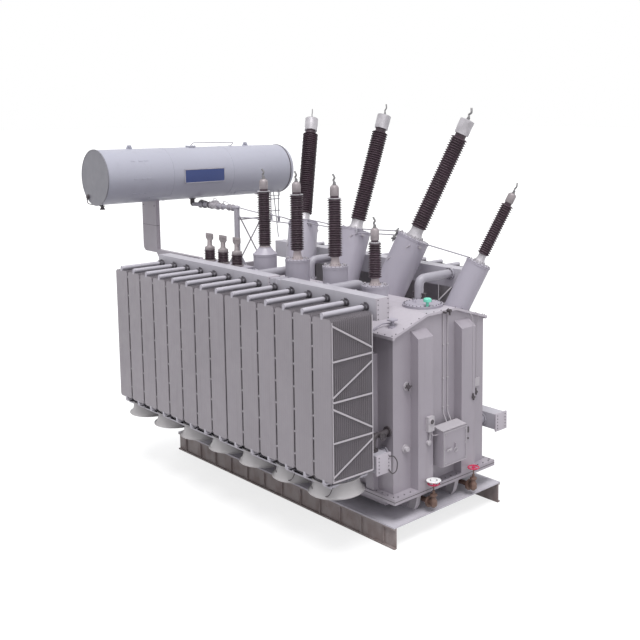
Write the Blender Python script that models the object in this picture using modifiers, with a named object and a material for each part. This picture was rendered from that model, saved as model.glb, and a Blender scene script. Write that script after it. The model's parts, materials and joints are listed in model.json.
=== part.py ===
"""Oil-filled three-phase power transformer with radiator banks, conservator and fanned bushings.

Metres, +Z up. The origin is on the ground at the centre of the skid. +X runs along the tank to
the end that carries the control box, +Y to the side of the tall high-voltage bushings. "Front"
is the +X end, "rear" the -X end, "near" the -Y side and "far" the +Y side.
"""

import math

import bmesh
import bpy
from mathutils import Matrix, Vector

OBJECT_NAME = "power_transformer"

# Gap between two pieces that touch
SEAT = 0.0003
# How far pieces run into each other where they are fused
JOIN = 0.02

# Skid: two channel runners that open outward, cross-beams and a deck plate
SKID_LENGTH = 7.76
SKID_WIDTH = 3.16
SKID_HEIGHT = 0.45
DECK_THICKNESS = 0.03
RUNNER_FLANGE = 0.07
RUNNER_FLANGE_THICKNESS = 0.03
RUNNER_WEB = 0.025
STIFFENER_COUNT = 12
STIFFENER_THICKNESS = 0.02
STIFFENER_SETBACK = 0.01
CROSS_BEAM_COUNT = 5
CROSS_BEAM_WEB = 0.025
CROSS_BEAM_FLANGE = 0.24
CROSS_BEAM_INSET = 1.25

# Cradle under the tank: two tapered girders and a shallow tray
GIRDER_NEAR_Y = -0.71
GIRDER_FAR_Y = 0.40
GIRDER_WIDTH = 0.06
GIRDER_TOP_LENGTH = 7.30
GIRDER_FOOT_LENGTH = 6.80
GIRDER_END_LIP = 0.06
TRAY_LENGTH = 6.50
TRAY_WIDTH = 2.40
TRAY_DEPTH = 0.24

# Tank
TANK_LENGTH = 7.18
TANK_WIDTH = 2.64
TANK_WALL_HEIGHT = 3.10
TANK_FLANGE_Z = 0.83
TANK_FLANGE_THICKNESS = 0.12
TANK_FLANGE_END_OVERHANG = 0.21
TANK_FLANGE_SIDE_OVERHANG = 0.16
END_RIB_DEPTH = 0.21
END_RIB_WIDTH = 0.42
END_RIB_CLEARANCE = 0.07
END_RIB_TOP_GAP = 0.08
END_RIB_SLOPE_HEIGHT = 0.15
SIDE_RIB_COUNT = 6
SIDE_RIB_PITCH = 1.22
SIDE_RIB_DEPTH = 0.13
SIDE_RIB_WIDTH = 0.22
SIDE_RIB_HEIGHT = 2.75

# Cover: a hipped plate with a bolted rim
COVER_THICKNESS = 0.05
COVER_RISE = 0.31
COVER_FLAT_HALF_WIDTH = 0.42
COVER_OVERHANG = 0.06
COVER_RIM_DEPTH = 0.06

# Radiators: stacks of flat panels on two collectors, carried by two header ducts. The far side has
# no radiators at its front end, where the tall neutral turret leans out.
RADIATORS_REAR = 8
RADIATORS_FRONT = 6
RADIATORS_LEFT_OUT_FAR = 4
RADIATOR_PITCH = 0.559
RADIATOR_SHIFT_FAR = 0.134
PANEL_WIDTH = 0.52
PANEL_COUNT = 4
PANEL_THICKNESS = 0.022
PANEL_HEIGHT = 3.03
PANEL_CORNER = 0.09
RADIATOR_DEPTH = 0.99
BANK_FRONT_X = 3.75
COLLECTOR_WIDTH = 0.09
COLLECTOR_HEIGHT = 0.11
COLLECTOR_OVERLAP = 0.012
COLLECTOR_SETBACK = 0.011
COLLECTOR_NECK = 0.10
HEADER_CLEARANCE = 0.26
HEADER_WIDTH = 0.31
UPPER_HEADER_HEIGHT = 0.42
LOWER_HEADER_HEIGHT = 0.34
HEADER_ABOVE_COVER = 0.42
HEADER_BELOW_PANEL_TOP = 0.19
HEADER_BELOW_PANEL_FOOT = 0.11
HEADER_BREAK_OFFSET = 0.05
HEADER_BREAK_GAP = 0.44
HEADER_REAR_INSET = 0.08
HEADER_FAR_UPPER_END_X = 2.78
COUPLING_INSET = 0.03
HEADER_PIPE_RADIUS = 0.10
HEADER_PIPE_SIDES = 10
UPPER_PIPE_LIFT = 0.09
UPPER_PIPE_NEAR_REAR_X = -0.50
UPPER_PIPE_NEAR_FRONT_X = 1.93
UPPER_PIPE_NEAR_Y = 0.62
UPPER_PIPE_FAR_REAR_X = -1.25
UPPER_PIPE_FAR_FRONT_X = 2.40
UPPER_PIPE_FAR_Y = 0.60
LOWER_PIPE_REAR_X = -3.36
LOWER_PIPE_FRONT_X = 3.36

# Fan cowls, one under each pair of radiators, hung on two rails a side
FANS_NEAR = 7
FANS_FAR = 5
FAN_INSET = 0.54
FAN_THROAT_RADIUS = 0.43
FAN_MOUTH_RADIUS = 0.53
FAN_HEIGHT = 0.285
FAN_WALL = 0.012
FAN_SIDES = 10
FAN_RAIL_WIDTH = 0.04
FAN_RAIL_HEIGHT = 0.04
FAN_RAIL_OFFSET = 0.40

# Conservator
CONSERVATOR_X = -5.2
CONSERVATOR_Z = 6.778
CONSERVATOR_RADIUS = 0.667
CONSERVATOR_NEAR_Y = -2.80
CONSERVATOR_SHELL_LENGTH = 5.24
CONSERVATOR_WALL = 0.012
CONSERVATOR_SIDES = 24
DISHED_END_DEPTH = 0.34
DISHED_END_FLANGE_RADIUS = 0.405
DISHED_END_FLANGE_THICKNESS = 0.05
FLAT_END_THICKNESS = 0.03
SUPPORT_INSET = 0.02
SUPPORT_WIDTH = 0.10
SUPPORT_COLUMN_WIDTH = 0.68
SUPPORT_COLUMN_X = -5.32
SUPPORT_FOOT_Z = 4.82
SUPPORT_ARM_STEP = 0.08
SUPPORT_ARM_DEPTH = 0.44
SUPPORT_ARM_END_X = -2.95
SUPPORT_FOOT_LENGTH = 0.60
SUPPORT_CORNER_RADIUS = 0.14

# Trestle under the conservator's far end, on a bracket from the tank's rear end
TRESTLE_X = -5.20
TRESTLE_NEAR_Y = 1.22
TRESTLE_FAR_Y = 2.03
TRESTLE_LEG = 0.10
TRESTLE_SILL_Z = 4.08
TRESTLE_SILL_HEIGHT = 0.14
TRESTLE_TIE_Z = 5.43
TRESTLE_POST_TOP_Z = 5.72
TRESTLE_BRACE_FROM_POST_Z = 5.66
TRESTLE_BRACE_TO_LEG_Z = 4.17
TRESTLE_BRACE_FROM_FOOT_Z = 4.22
TRESTLE_BRACE_RADIUS = 0.02
TRESTLE_SADDLE_LENGTH = 0.34
TRESTLE_SADDLE_DROP = 0.04
BRACKET_WIDTH = 0.10
BRACKET_ROOT_DEPTH = 0.42
BRACKET_TIP_DEPTH = 0.16
BRACKET_BELOW_COVER = 0.04

# Oil pipe from the conservator, with the gas relay
OIL_PIPE_RADIUS = 0.055
OIL_PIPE_Z = 5.96
OIL_PIPE_START_Y = -0.16
OIL_RISER_RADIUS = 0.072
OIL_RISER_X = -3.42
OIL_RISER_Y = 0.0
OIL_RISER_TOP_Z = 6.02
OIL_RISER_GUSSET_HEIGHT = 0.48
OIL_RISER_GUSSET_REACH = 0.50
OIL_VALVE_X = -5.0
OIL_VALVE_LENGTH = 0.20
OIL_VALVE_RADIUS = 0.085

# Turrets
MV_INSET = 0.52
MV_A_X = -1.16
MV_B_X = 0.03
MV_C_X = 1.31
MV_TOP_Z = 5.15
MV_TURRET_RADIUS = 0.265
MV_CONE_HEIGHT = 0.15
MV_CONE_TOP_RADIUS = 0.14
MV_NEUTRAL_X = 2.54
MV_NEUTRAL_TOP_Z = 4.90
MV_NEUTRAL_TURRET_RADIUS = 0.265
TURRET_FLANGE = 0.008
TURRET_FLANGE_THICKNESS = 0.035
TURRET_SIDES = 16

# High-voltage turrets lean outward and fan along the tank
HV_INSET = 0.12
HV_TOP_Z = 5.58
HV_A_X = -2.27
HV_B_X = -0.305
HV_C_X = 1.645
HV_LEAN_DEG = 19.6
HV_FAN_DEG = 16.3
HV_TURRET_RADIUS = 0.365
HV_TURRET_LENGTH = 1.60
HV_NEUTRAL_X = 3.65
HV_NEUTRAL_INSET = 0.22
HV_NEUTRAL_TOP_Z = 5.26
HV_NEUTRAL_LEAN_DEG = 20.0
HV_NEUTRAL_FAN_DEG = 18.0
HV_NEUTRAL_TURRET_RADIUS = 0.26
HV_NEUTRAL_TURRET_LENGTH = 1.20

# Bushings: a collar, the porcelain with its sheds, a neck, a metal cap and a terminal
HV_COLLAR = 0.24
HV_PORCELAIN = 2.19
HV_NECK = 0.085
HV_SHED_RADIUS = 0.175
HV_CORE_RADIUS = 0.13
HV_SHEDS = 5
HV_CAP_RADIUS = 0.165
HV_CAP_HEIGHT = 0.355
HV_TERMINAL = 0.26
MV_COLLAR = 0.195
MV_PORCELAIN = 1.22
MV_NECK = 0.06
MV_SHED_RADIUS = 0.132
MV_CORE_RADIUS = 0.10
MV_SHEDS = 4
MV_CAP_RADIUS = 0.098
MV_CAP_HEIGHT = 0.235
MV_TERMINAL = 0.21
NEUTRAL_SHED_RADIUS = 0.118
NEUTRAL_CORE_RADIUS = 0.085
NEUTRAL_NECK = 0.055
MV_NEUTRAL_COLLAR = 0.14
MV_NEUTRAL_PORCELAIN = 0.72
MV_NEUTRAL_SHEDS = 3
HV_NEUTRAL_COLLAR = 0.19
HV_NEUTRAL_PORCELAIN = 1.14
HV_NEUTRAL_SHEDS = 4
NEUTRAL_CAP_RADIUS = 0.088
NEUTRAL_CAP_HEIGHT = 0.235
NEUTRAL_TERMINAL = 0.20
TERMINAL_RADIUS = 0.03
BUSHING_SIDES = 10
COLLAR_FLANGE_SHARE = 0.3
LV_INSET = 0.47
LV_A_X = -3.36
LV_PITCH = 0.575
LV_PORCELAIN = 0.25
LV_SHEDS = 2
LV_SHED_RADIUS = 0.135
LV_CORE_RADIUS = 0.11
LV_BASE_Z = 4.73
LV_COLLAR = 0.04
LV_CAP_RADIUS = 0.12
LV_CAP_HEIGHT = 0.05
LV_STEM_RADIUS = 0.06
LV_STEM_HEIGHT = 0.17
LV_PALM_WIDTH = 0.30
LV_PALM_HEIGHT = 0.20
LV_PALM_THICKNESS = 0.025

# Control box on the front end wall
CONTROL_BOX_FRONT_X = 3.98
CONTROL_BOX_DEPTH = 0.26
CONTROL_BOX_Y = 0.02
CONTROL_BOX_WIDTH = 0.70
CONTROL_BOX_Z = 1.32
CONTROL_BOX_HEIGHT = 0.75
CONTROL_BOX_WALL = 0.01
CONTROL_BOX_RAIL = 0.05
DOOR_THICKNESS = 0.025
DOOR_MARGIN = 0.006
DOOR_HANDLE_RADIUS = 0.03
DOOR_HANDLE_DEPTH = 0.03
HINGE_BARREL_RADIUS = 0.012

# Drain valves with handwheels at the front end
VALVE_X = 3.95
VALVE_NEAR_Y = -0.56
VALVE_FAR_Y = 0.63
VALVE_PIPE_Z = 0.66
VALVE_PIPE_RADIUS = 0.05
VALVE_BODY_RADIUS = 0.075
VALVE_FLANGE_RADIUS = 0.115
VALVE_FLANGE_THICKNESS = 0.02
VALVE_BODY_TOP_Z = 0.86
VALVE_STEM_RADIUS = 0.014
WHEEL_Z = 1.06
WHEEL_RADIUS = 0.115
WHEEL_RIM_RADIUS = 0.014
WHEEL_HUB_RADIUS = 0.03
WHEEL_HUB_HEIGHT = 0.04
WHEEL_SPOKES = 5

# Values that follow from the sizes above
DECK_TOP_Z = SKID_HEIGHT
DECK_BOTTOM_Z = SKID_HEIGHT - DECK_THICKNESS
RUNNER_TOP_Z = DECK_BOTTOM_Z - SEAT
TANK_FLOOR_Z = TANK_FLANGE_Z + TANK_FLANGE_THICKNESS
TANK_END_X = TANK_LENGTH / 2
TANK_SIDE_Y = TANK_WIDTH / 2
MV_Y = -(TANK_SIDE_Y - MV_INSET)
LV_Y = -(TANK_SIDE_Y - LV_INSET)
HV_TOP_Y = TANK_SIDE_Y - HV_INSET
HV_NEUTRAL_Y = TANK_SIDE_Y - HV_NEUTRAL_INSET
END_RIB_OFFSET = CONTROL_BOX_WIDTH / 2 + END_RIB_CLEARANCE + END_RIB_WIDTH / 2
WALL_TOP_Z = TANK_FLOOR_Z + TANK_WALL_HEIGHT
COVER_EDGE_TOP_Z = WALL_TOP_Z + COVER_THICKNESS
COVER_EDGE_Y = TANK_SIDE_Y + COVER_OVERHANG
UPPER_HEADER_Z = COVER_EDGE_TOP_Z + HEADER_ABOVE_COVER
PANEL_TOP_Z = UPPER_HEADER_Z + HEADER_BELOW_PANEL_TOP
PANEL_BOTTOM_Z = PANEL_TOP_Z - PANEL_HEIGHT
LOWER_HEADER_Z = PANEL_BOTTOM_Z - HEADER_BELOW_PANEL_FOOT
UPPER_PIPE_Z = UPPER_HEADER_Z + UPPER_HEADER_HEIGHT / 2 + UPPER_PIPE_LIFT
HEADER_INNER_Y = TANK_SIDE_Y + HEADER_CLEARANCE
HEADER_OUTER_Y = HEADER_INNER_Y + HEADER_WIDTH
BANK_OUTER_Y = HEADER_OUTER_Y + COLLECTOR_NECK + RADIATOR_DEPTH
RADIATOR_COUNT = RADIATORS_REAR + RADIATORS_FRONT
BANK_REAR_X = BANK_FRONT_X - PANEL_WIDTH - (RADIATOR_COUNT - 1) * RADIATOR_PITCH
HEADER_REAR_X = BANK_REAR_X + HEADER_REAR_INSET
LAST_FRONT_RADIATOR_X = BANK_FRONT_X - PANEL_WIDTH / 2 - RADIATOR_PITCH * (RADIATORS_FRONT - 1)
HEADER_BREAK_X = LAST_FRONT_RADIATOR_X - HEADER_BREAK_OFFSET
HEADER_BREAK_REAR_X = HEADER_BREAK_X - HEADER_BREAK_GAP / 2
HEADER_BREAK_FRONT_X = HEADER_BREAK_X + HEADER_BREAK_GAP / 2
COLLECTOR_LOW_Z = PANEL_BOTTOM_Z + COLLECTOR_OVERLAP - COLLECTOR_HEIGHT
COLLECTOR_HIGH_Z = PANEL_TOP_Z - COLLECTOR_OVERLAP
FAN_TOP_Z = COLLECTOR_LOW_Z - SEAT
CONSERVATOR_FAR_Y = CONSERVATOR_NEAR_Y + CONSERVATOR_SHELL_LENGTH


# Scene and materials

def clear_scene():
    for obj in list(bpy.data.objects):
        bpy.data.objects.remove(obj, do_unlink=True)


def new_collection(name):
    collection = bpy.data.collections.new(name)
    bpy.context.scene.collection.children.link(collection)
    return collection


def paint(name, colour, roughness=0.45, metallic=0.0):
    material = bpy.data.materials.new(name)
    material.use_nodes = True
    shader = material.node_tree.nodes["Principled BSDF"]
    shader.inputs["Base Color"].default_value = (*colour, 1.0)
    shader.inputs["Roughness"].default_value = roughness
    shader.inputs["Metallic"].default_value = metallic
    material.diffuse_color = (*colour, 1.0)
    return material


# Basic shapes

def mesh_object(name, mesh):
    obj = bpy.data.objects.new(name, mesh)
    parts.objects.link(obj)
    return obj


def boxes(name, extents):
    """One mesh of boxes, each given as ((x0, x1), (y0, y1), (z0, z1))."""
    bm = bmesh.new()
    for extent in extents:
        low = [min(pair) for pair in extent]
        high = [max(pair) for pair in extent]
        cube = bmesh.ops.create_cube(bm, size=1.0)
        for vert in cube["verts"]:
            vert.co = [high[i] if vert.co[i] > 0 else low[i] for i in range(3)]
    mesh = bpy.data.meshes.new(name)
    bm.to_mesh(mesh)
    bm.free()
    return mesh_object(name, mesh)


def copies(name, source, places):
    """One mesh of copies of a piece, each moved by an (x, y, z)."""
    source.data.transform(source.matrix_basis)
    bm = bmesh.new()
    for place in places:
        first = len(bm.verts)
        bm.from_mesh(source.data)
        bm.verts.ensure_lookup_table()
        bmesh.ops.translate(bm, vec=place, verts=bm.verts[first:])
    mesh = bpy.data.meshes.new(name)
    bm.to_mesh(mesh)
    bm.free()
    bpy.data.objects.remove(source, do_unlink=True)
    return mesh_object(name, mesh)


def evaluated_mesh(obj):
    bpy.context.view_layer.update()
    graph = bpy.context.evaluated_depsgraph_get()
    return bpy.data.meshes.new_from_object(obj.evaluated_get(graph))


def as_mesh(obj):
    """Replaces an object that has modifiers, or is a curve, by a plain welded mesh object."""
    mesh = evaluated_mesh(obj)
    bm = bmesh.new()
    bm.from_mesh(mesh)
    bmesh.ops.remove_doubles(bm, verts=bm.verts, dist=0.00005)
    bm.to_mesh(mesh)
    bm.free()
    name = obj.name
    place = obj.matrix_world.copy()
    bpy.data.objects.remove(obj, do_unlink=True)
    plain = mesh_object(name, mesh)
    plain.matrix_world = place
    return plain


def outline(name, points, thickness, facing, centre=0.0):
    """A flat outline with square edges.

    With facing "Y" the points are (x, z) and the plate is centred on y = centre; with facing "X"
    they are (y, z) and it is centred on x = centre; with facing "Z" they are (x, y).
    """
    curve = bpy.data.curves.new(name, "CURVE")
    curve.dimensions = "2D"
    curve.fill_mode = "BOTH"
    curve.extrude = thickness / 2
    spline = curve.splines.new("POLY")
    spline.points.add(len(points) - 1)
    for point, (u, v) in zip(spline.points, points):
        point.co = (u, v, 0.0, 1.0)
    spline.use_cyclic_u = True
    obj = bpy.data.objects.new(name, curve)
    parts.objects.link(obj)
    if facing == "Y":
        obj.rotation_euler = (math.radians(90), 0, 0)
        obj.location = (0, centre, 0)
    elif facing == "X":
        obj.rotation_euler = (math.radians(90), 0, math.radians(90))
        obj.location = (centre, 0, 0)
    else:
        obj.location = (0, 0, centre)
    return as_mesh(obj)


def turned(name, profile, sides):
    """Turns (radius, height) points about +Z; the profile runs down its outer side."""
    mesh = bpy.data.meshes.new(name)
    edges = [(i, i + 1) for i in range(len(profile) - 1)]
    mesh.from_pydata([(radius, 0.0, height) for radius, height in profile], edges, [])
    obj = mesh_object(name, mesh)
    screw = obj.modifiers.new("turn", "SCREW")
    screw.steps = sides
    screw.render_steps = sides
    screw.use_merge_vertices = True
    screw.merge_threshold = 0.00005
    return as_mesh(obj)


def rod(name, start, end, radius, sides=12):
    """A straight round bar or pipe between two points."""
    start = Vector(start)
    end = Vector(end)
    length = (end - start).length
    bm = bmesh.new()
    bmesh.ops.create_cone(
        bm, cap_ends=True, cap_tris=False, segments=sides,
        radius1=radius, radius2=radius, depth=length,
    )
    mesh = bpy.data.meshes.new(name)
    bm.to_mesh(mesh)
    bm.free()
    obj = mesh_object(name, mesh)
    obj.rotation_mode = "QUATERNION"
    obj.rotation_quaternion = (end - start).to_track_quat("Z", "Y")
    obj.location = (start + end) / 2
    return obj


def pipe(name, points, radius, resolution=3):
    """A round pipe along a list of points."""
    curve = bpy.data.curves.new(name, "CURVE")
    curve.dimensions = "3D"
    curve.bevel_depth = radius
    curve.bevel_resolution = resolution
    curve.use_fill_caps = True
    spline = curve.splines.new("POLY")
    spline.points.add(len(points) - 1)
    for point, place in zip(spline.points, points):
        point.co = (*place, 1.0)
    obj = bpy.data.objects.new(name, curve)
    parts.objects.link(obj)
    return as_mesh(obj)


def fused(name, pieces):
    """Joins overlapping mesh objects into one closed solid."""
    body, *rest = pieces
    for tool in rest:
        union = body.modifiers.new("union", "BOOLEAN")
        union.operation = "UNION"
        union.solver = "EXACT"
        union.object = tool
    body = as_mesh(body)
    for tool in rest:
        bpy.data.objects.remove(tool, do_unlink=True)
    body.name = name
    return body


def cut(name, body, tools):
    """Cuts the tools out of a mesh object."""
    for tool in tools:
        difference = body.modifiers.new("cut", "BOOLEAN")
        difference.operation = "DIFFERENCE"
        difference.solver = "EXACT"
        difference.object = tool
    body = as_mesh(body)
    for tool in tools:
        bpy.data.objects.remove(tool, do_unlink=True)
    body.name = name
    return body


def finish(obj, name, material, smooth=False):
    """Names a finished sub-part and gives it its material and shading."""
    obj.name = name
    obj.data.name = name
    obj.data.materials.clear()
    obj.data.materials.append(material)
    if smooth:
        obj.data.shade_smooth()
        obj.data.set_sharp_from_angle(angle=math.radians(35))
    return obj


def arc(centre, radius, start_deg, end_deg, steps):
    """Points on an arc, both ends included."""
    points = []
    for i in range(steps + 1):
        angle = math.radians(start_deg + (end_deg - start_deg) * i / steps)
        points.append((centre[0] + radius * math.cos(angle), centre[1] + radius * math.sin(angle)))
    return points


# Skid

def skid_runner(name, side):
    """Channel that opens outward, with stiffener plates between its flanges."""
    edge = side * SKID_WIDTH / 2
    back = side * (SKID_WIDTH / 2 - RUNNER_FLANGE)
    thick = RUNNER_FLANGE_THICKNESS
    length = (-SKID_LENGTH / 2, SKID_LENGTH / 2)
    flanges = [
        (length, (back, edge), (low, low + thick)) for low in (0, RUNNER_TOP_Z - thick)
    ]
    between = (thick / 2, RUNNER_TOP_Z - thick / 2)
    web = [(length, (back, back + side * RUNNER_WEB), between)]
    pitch = SKID_LENGTH / STIFFENER_COUNT
    plates = []
    for i in range(STIFFENER_COUNT):
        x = -SKID_LENGTH / 2 + (i + 0.5) * pitch
        span = (x - STIFFENER_THICKNESS / 2, x + STIFFENER_THICKNESS / 2)
        face = (back + side * RUNNER_WEB / 2, edge - side * STIFFENER_SETBACK)
        plates.append((span, face, between))
    pieces = [boxes("web", web), boxes("flanges", flanges), boxes("stiffeners", plates)]
    return finish(fused(name, pieces), name, SKID_PAINT)


def skid_deck():
    half_length = SKID_LENGTH / 2
    half_width = SKID_WIDTH / 2
    deck = boxes("deck", [(
        (-half_length, half_length), (-half_width, half_width), (DECK_BOTTOM_Z, DECK_TOP_Z),
    )])
    reach = half_width - RUNNER_FLANGE - SEAT
    spacing = (SKID_LENGTH - 2 * CROSS_BEAM_INSET) / (CROSS_BEAM_COUNT - 1)
    webs = []
    flanges = []
    for i in range(CROSS_BEAM_COUNT):
        x = -half_length + CROSS_BEAM_INSET + i * spacing
        web = (x - CROSS_BEAM_WEB / 2, x + CROSS_BEAM_WEB / 2)
        flange = (x - CROSS_BEAM_FLANGE / 2, x + CROSS_BEAM_FLANGE / 2)
        overlap = DECK_BOTTOM_Z + DECK_THICKNESS / 2
        webs.append((web, (-reach, reach), (RUNNER_FLANGE_THICKNESS / 2, overlap)))
        flanges.append((flange, (-reach, reach), (0, RUNNER_FLANGE_THICKNESS)))
    pieces = [deck, boxes("webs", webs), boxes("flanges", flanges)]
    return finish(fused("skid_deck", pieces), "skid_deck", SKID_PAINT)


# Cradle and tank

def tank_cradle():
    top = TANK_FLANGE_Z - SEAT
    foot = DECK_TOP_Z + SEAT
    half_top = GIRDER_TOP_LENGTH / 2
    half_foot = GIRDER_FOOT_LENGTH / 2
    rise = top - GIRDER_END_LIP - foot
    run = half_top - half_foot
    curve_right = []
    for i in range(5):
        angle = math.radians(90 * i / 4)
        curve_right.append((half_foot + run * (1 - math.cos(angle)), foot + rise * math.sin(angle)))
    curve_left = [(-x, z) for x, z in reversed(curve_right)]
    points = [*curve_right, (half_top, top), (-half_top, top), *curve_left]
    girders = [
        outline("girder", points, GIRDER_WIDTH, "Y", y) for y in (GIRDER_NEAR_Y, GIRDER_FAR_Y)
    ]
    tray = boxes("tray", [(
        (-TRAY_LENGTH / 2, TRAY_LENGTH / 2), (-TRAY_WIDTH / 2, TRAY_WIDTH / 2),
        (top - TRAY_DEPTH, top),
    )])
    return finish(fused("tank_cradle", [tray, *girders]), "tank_cradle", TANK_PAINT)


def cover_profile(offset, half_width, drop):
    """Height points of the hipped cover across the tank, offset downward from its top."""
    slope = COVER_RISE / (COVER_EDGE_Y - COVER_FLAT_HALF_WIDTH)
    edge_z = COVER_EDGE_TOP_Z + slope * (COVER_EDGE_Y - half_width) - offset
    flat_z = COVER_EDGE_TOP_Z + COVER_RISE - offset
    return [
        (half_width, drop), (half_width, edge_z), (COVER_FLAT_HALF_WIDTH, flat_z),
        (-COVER_FLAT_HALF_WIDTH, flat_z), (-half_width, edge_z), (-half_width, drop),
    ]


def end_rib(end, side):
    """A box rib on an end wall, its top cut to a slope."""
    wall = end * (TANK_END_X - JOIN)
    face = end * (TANK_END_X + END_RIB_DEPTH)
    low = TANK_FLOOR_Z - JOIN
    high = cover_top(END_RIB_OFFSET + END_RIB_WIDTH / 2) - COVER_THICKNESS - END_RIB_TOP_GAP
    points = [
        (wall, low), (face, low), (face, high - END_RIB_SLOPE_HEIGHT), (wall, high),
    ]
    return outline("end_rib", points, END_RIB_WIDTH, "Y", side * END_RIB_OFFSET)


def tank_shell():
    section = cover_profile(COVER_THICKNESS + SEAT, TANK_SIDE_Y, TANK_FLOOR_Z - JOIN)
    shell = outline("shell", section, TANK_LENGTH, "X")
    flange = boxes("flange", [(
        (-TANK_END_X - TANK_FLANGE_END_OVERHANG, TANK_END_X + TANK_FLANGE_END_OVERHANG),
        (-TANK_SIDE_Y - TANK_FLANGE_SIDE_OVERHANG, TANK_SIDE_Y + TANK_FLANGE_SIDE_OVERHANG),
        (TANK_FLANGE_Z, TANK_FLOOR_Z),
    )])
    ribs = [end_rib(end, side) for end in (-1, 1) for side in (-1, 1)]
    side_ribs = []
    for i in range(SIDE_RIB_COUNT):
        x = (i - (SIDE_RIB_COUNT - 1) / 2) * SIDE_RIB_PITCH
        for side in (-1, 1):
            side_ribs.append((
                (x - SIDE_RIB_WIDTH / 2, x + SIDE_RIB_WIDTH / 2),
                (side * (TANK_SIDE_Y - JOIN), side * (TANK_SIDE_Y + SIDE_RIB_DEPTH)),
                (TANK_FLOOR_Z - JOIN, TANK_FLOOR_Z + SIDE_RIB_HEIGHT),
            ))
    pieces = [shell, flange, *ribs, boxes("side_ribs", side_ribs)]
    return finish(fused("tank_shell", pieces), "tank_shell", TANK_PAINT)


def tank_cover():
    top = cover_profile(0.0, COVER_EDGE_Y, COVER_EDGE_TOP_Z - COVER_RIM_DEPTH)
    inner = cover_profile(COVER_THICKNESS, TANK_SIDE_Y, COVER_EDGE_TOP_Z - COVER_RIM_DEPTH)
    inner = [(y * (1 + SEAT / TANK_SIDE_Y), z) for y, z in inner]
    points = top + list(reversed(inner))
    cover = outline("cover", points, TANK_LENGTH + 2 * COVER_OVERHANG, "X")
    return finish(cover, "tank_cover", COVER_PAINT)


# Radiator groups

def radiator_centres(first, count, shift):
    """X of each radiator's centre, counted from the front end."""
    front = BANK_FRONT_X - PANEL_WIDTH / 2 + shift
    return [front - RADIATOR_PITCH * i for i in range(first, first + count)]


def panel():
    """One pressed panel around x = 0 with cut corners, its near face's middle at y = 0."""
    half = PANEL_WIDTH / 2
    low = PANEL_BOTTOM_Z
    high = PANEL_TOP_Z
    corner = PANEL_CORNER
    points = [
        (half, low + corner), (half, high - corner), (half - corner, high), (-half + corner, high),
        (-half, high - corner), (-half, low + corner), (-half + corner, low), (half - corner, low),
    ]
    return outline("panel", points, PANEL_THICKNESS, "Y")


def radiator_group(name, side, centres, upper_span, lower_span, upper_pipe_x, upper_pipe_y, lower_pipe_x):
    outer = BANK_OUTER_Y - PANEL_THICKNESS / 2
    step = (RADIATOR_DEPTH - PANEL_THICKNESS) / (PANEL_COUNT - 1)
    places = [(x, side * (outer - i * step), 0) for x in centres for i in range(PANEL_COUNT)]
    collectors = []
    for x in centres:
        for low in (COLLECTOR_LOW_Z, COLLECTOR_HIGH_Z):
            collectors.append((
                (x - COLLECTOR_WIDTH / 2, x + COLLECTOR_WIDTH / 2),
                (side * (HEADER_OUTER_Y - COUPLING_INSET * 2), side * (BANK_OUTER_Y - COLLECTOR_SETBACK)),
                (low, low + COLLECTOR_HEIGHT),
            ))
    across = (side * HEADER_INNER_Y, side * HEADER_OUTER_Y)
    headers = [
        (lower_span, across, (LOWER_HEADER_Z, LOWER_HEADER_Z + LOWER_HEADER_HEIGHT)),
        (upper_span, across, (UPPER_HEADER_Z, UPPER_HEADER_Z + UPPER_HEADER_HEIGHT)),
    ]
    pieces = [
        copies("panels", panel(), places), boxes("collectors", collectors), boxes("headers", headers),
        *upper_pipe(side, upper_pipe_x, upper_pipe_y), lower_pipe(side, lower_pipe_x),
    ]
    if HEADER_BREAK_FRONT_X in lower_span:
        pieces.append(header_couplings(side))
    return finish(fused(name, pieces), name, RADIATOR_PAINT)


def header_couplings(side):
    """Slimmer ducts that bridge the break between the front and rear headers."""
    along = (HEADER_BREAK_REAR_X + SEAT, HEADER_BREAK_FRONT_X + COUPLING_INSET)
    across = (side * (HEADER_INNER_Y + COUPLING_INSET), side * (HEADER_OUTER_Y - COUPLING_INSET))
    return boxes("couplings", [
        (along, across, (low + COUPLING_INSET, low + height - COUPLING_INSET))
        for low, height in (
            (LOWER_HEADER_Z, LOWER_HEADER_HEIGHT), (UPPER_HEADER_Z, UPPER_HEADER_HEIGHT),
        )
    ])


def cover_top(y):
    """Height of the cover's upper surface at a distance from the tank's centre line."""
    slope = COVER_RISE / (COVER_EDGE_Y - COVER_FLAT_HALF_WIDTH)
    return COVER_EDGE_TOP_Z + min(COVER_RISE, slope * (COVER_EDGE_Y - abs(y)))


def upper_pipe(side, x, reach):
    """Pipe from the upper header over the cover, down to the cover's slope at y = reach."""
    foot = cover_top(reach - HEADER_PIPE_RADIUS) + SEAT
    run = rod(
        "run", (x, side * (HEADER_INNER_Y + JOIN), UPPER_PIPE_Z),
        (x, side * (reach - HEADER_PIPE_RADIUS * 0.7), UPPER_PIPE_Z),
        HEADER_PIPE_RADIUS, HEADER_PIPE_SIDES,
    )
    drop = rod(
        "drop", (x, side * reach, UPPER_PIPE_Z), (x, side * reach, foot),
        HEADER_PIPE_RADIUS, HEADER_PIPE_SIDES,
    )
    return [run, drop]


def lower_pipe(side, x):
    """Pipe from the lower header to the tank wall."""
    z = LOWER_HEADER_Z + LOWER_HEADER_HEIGHT / 2
    return rod(
        "lower_pipe", (x, side * (HEADER_INNER_Y + JOIN), z), (x, side * (TANK_SIDE_Y + SEAT), z),
        HEADER_PIPE_RADIUS, HEADER_PIPE_SIDES,
    )


# Fans

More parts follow.
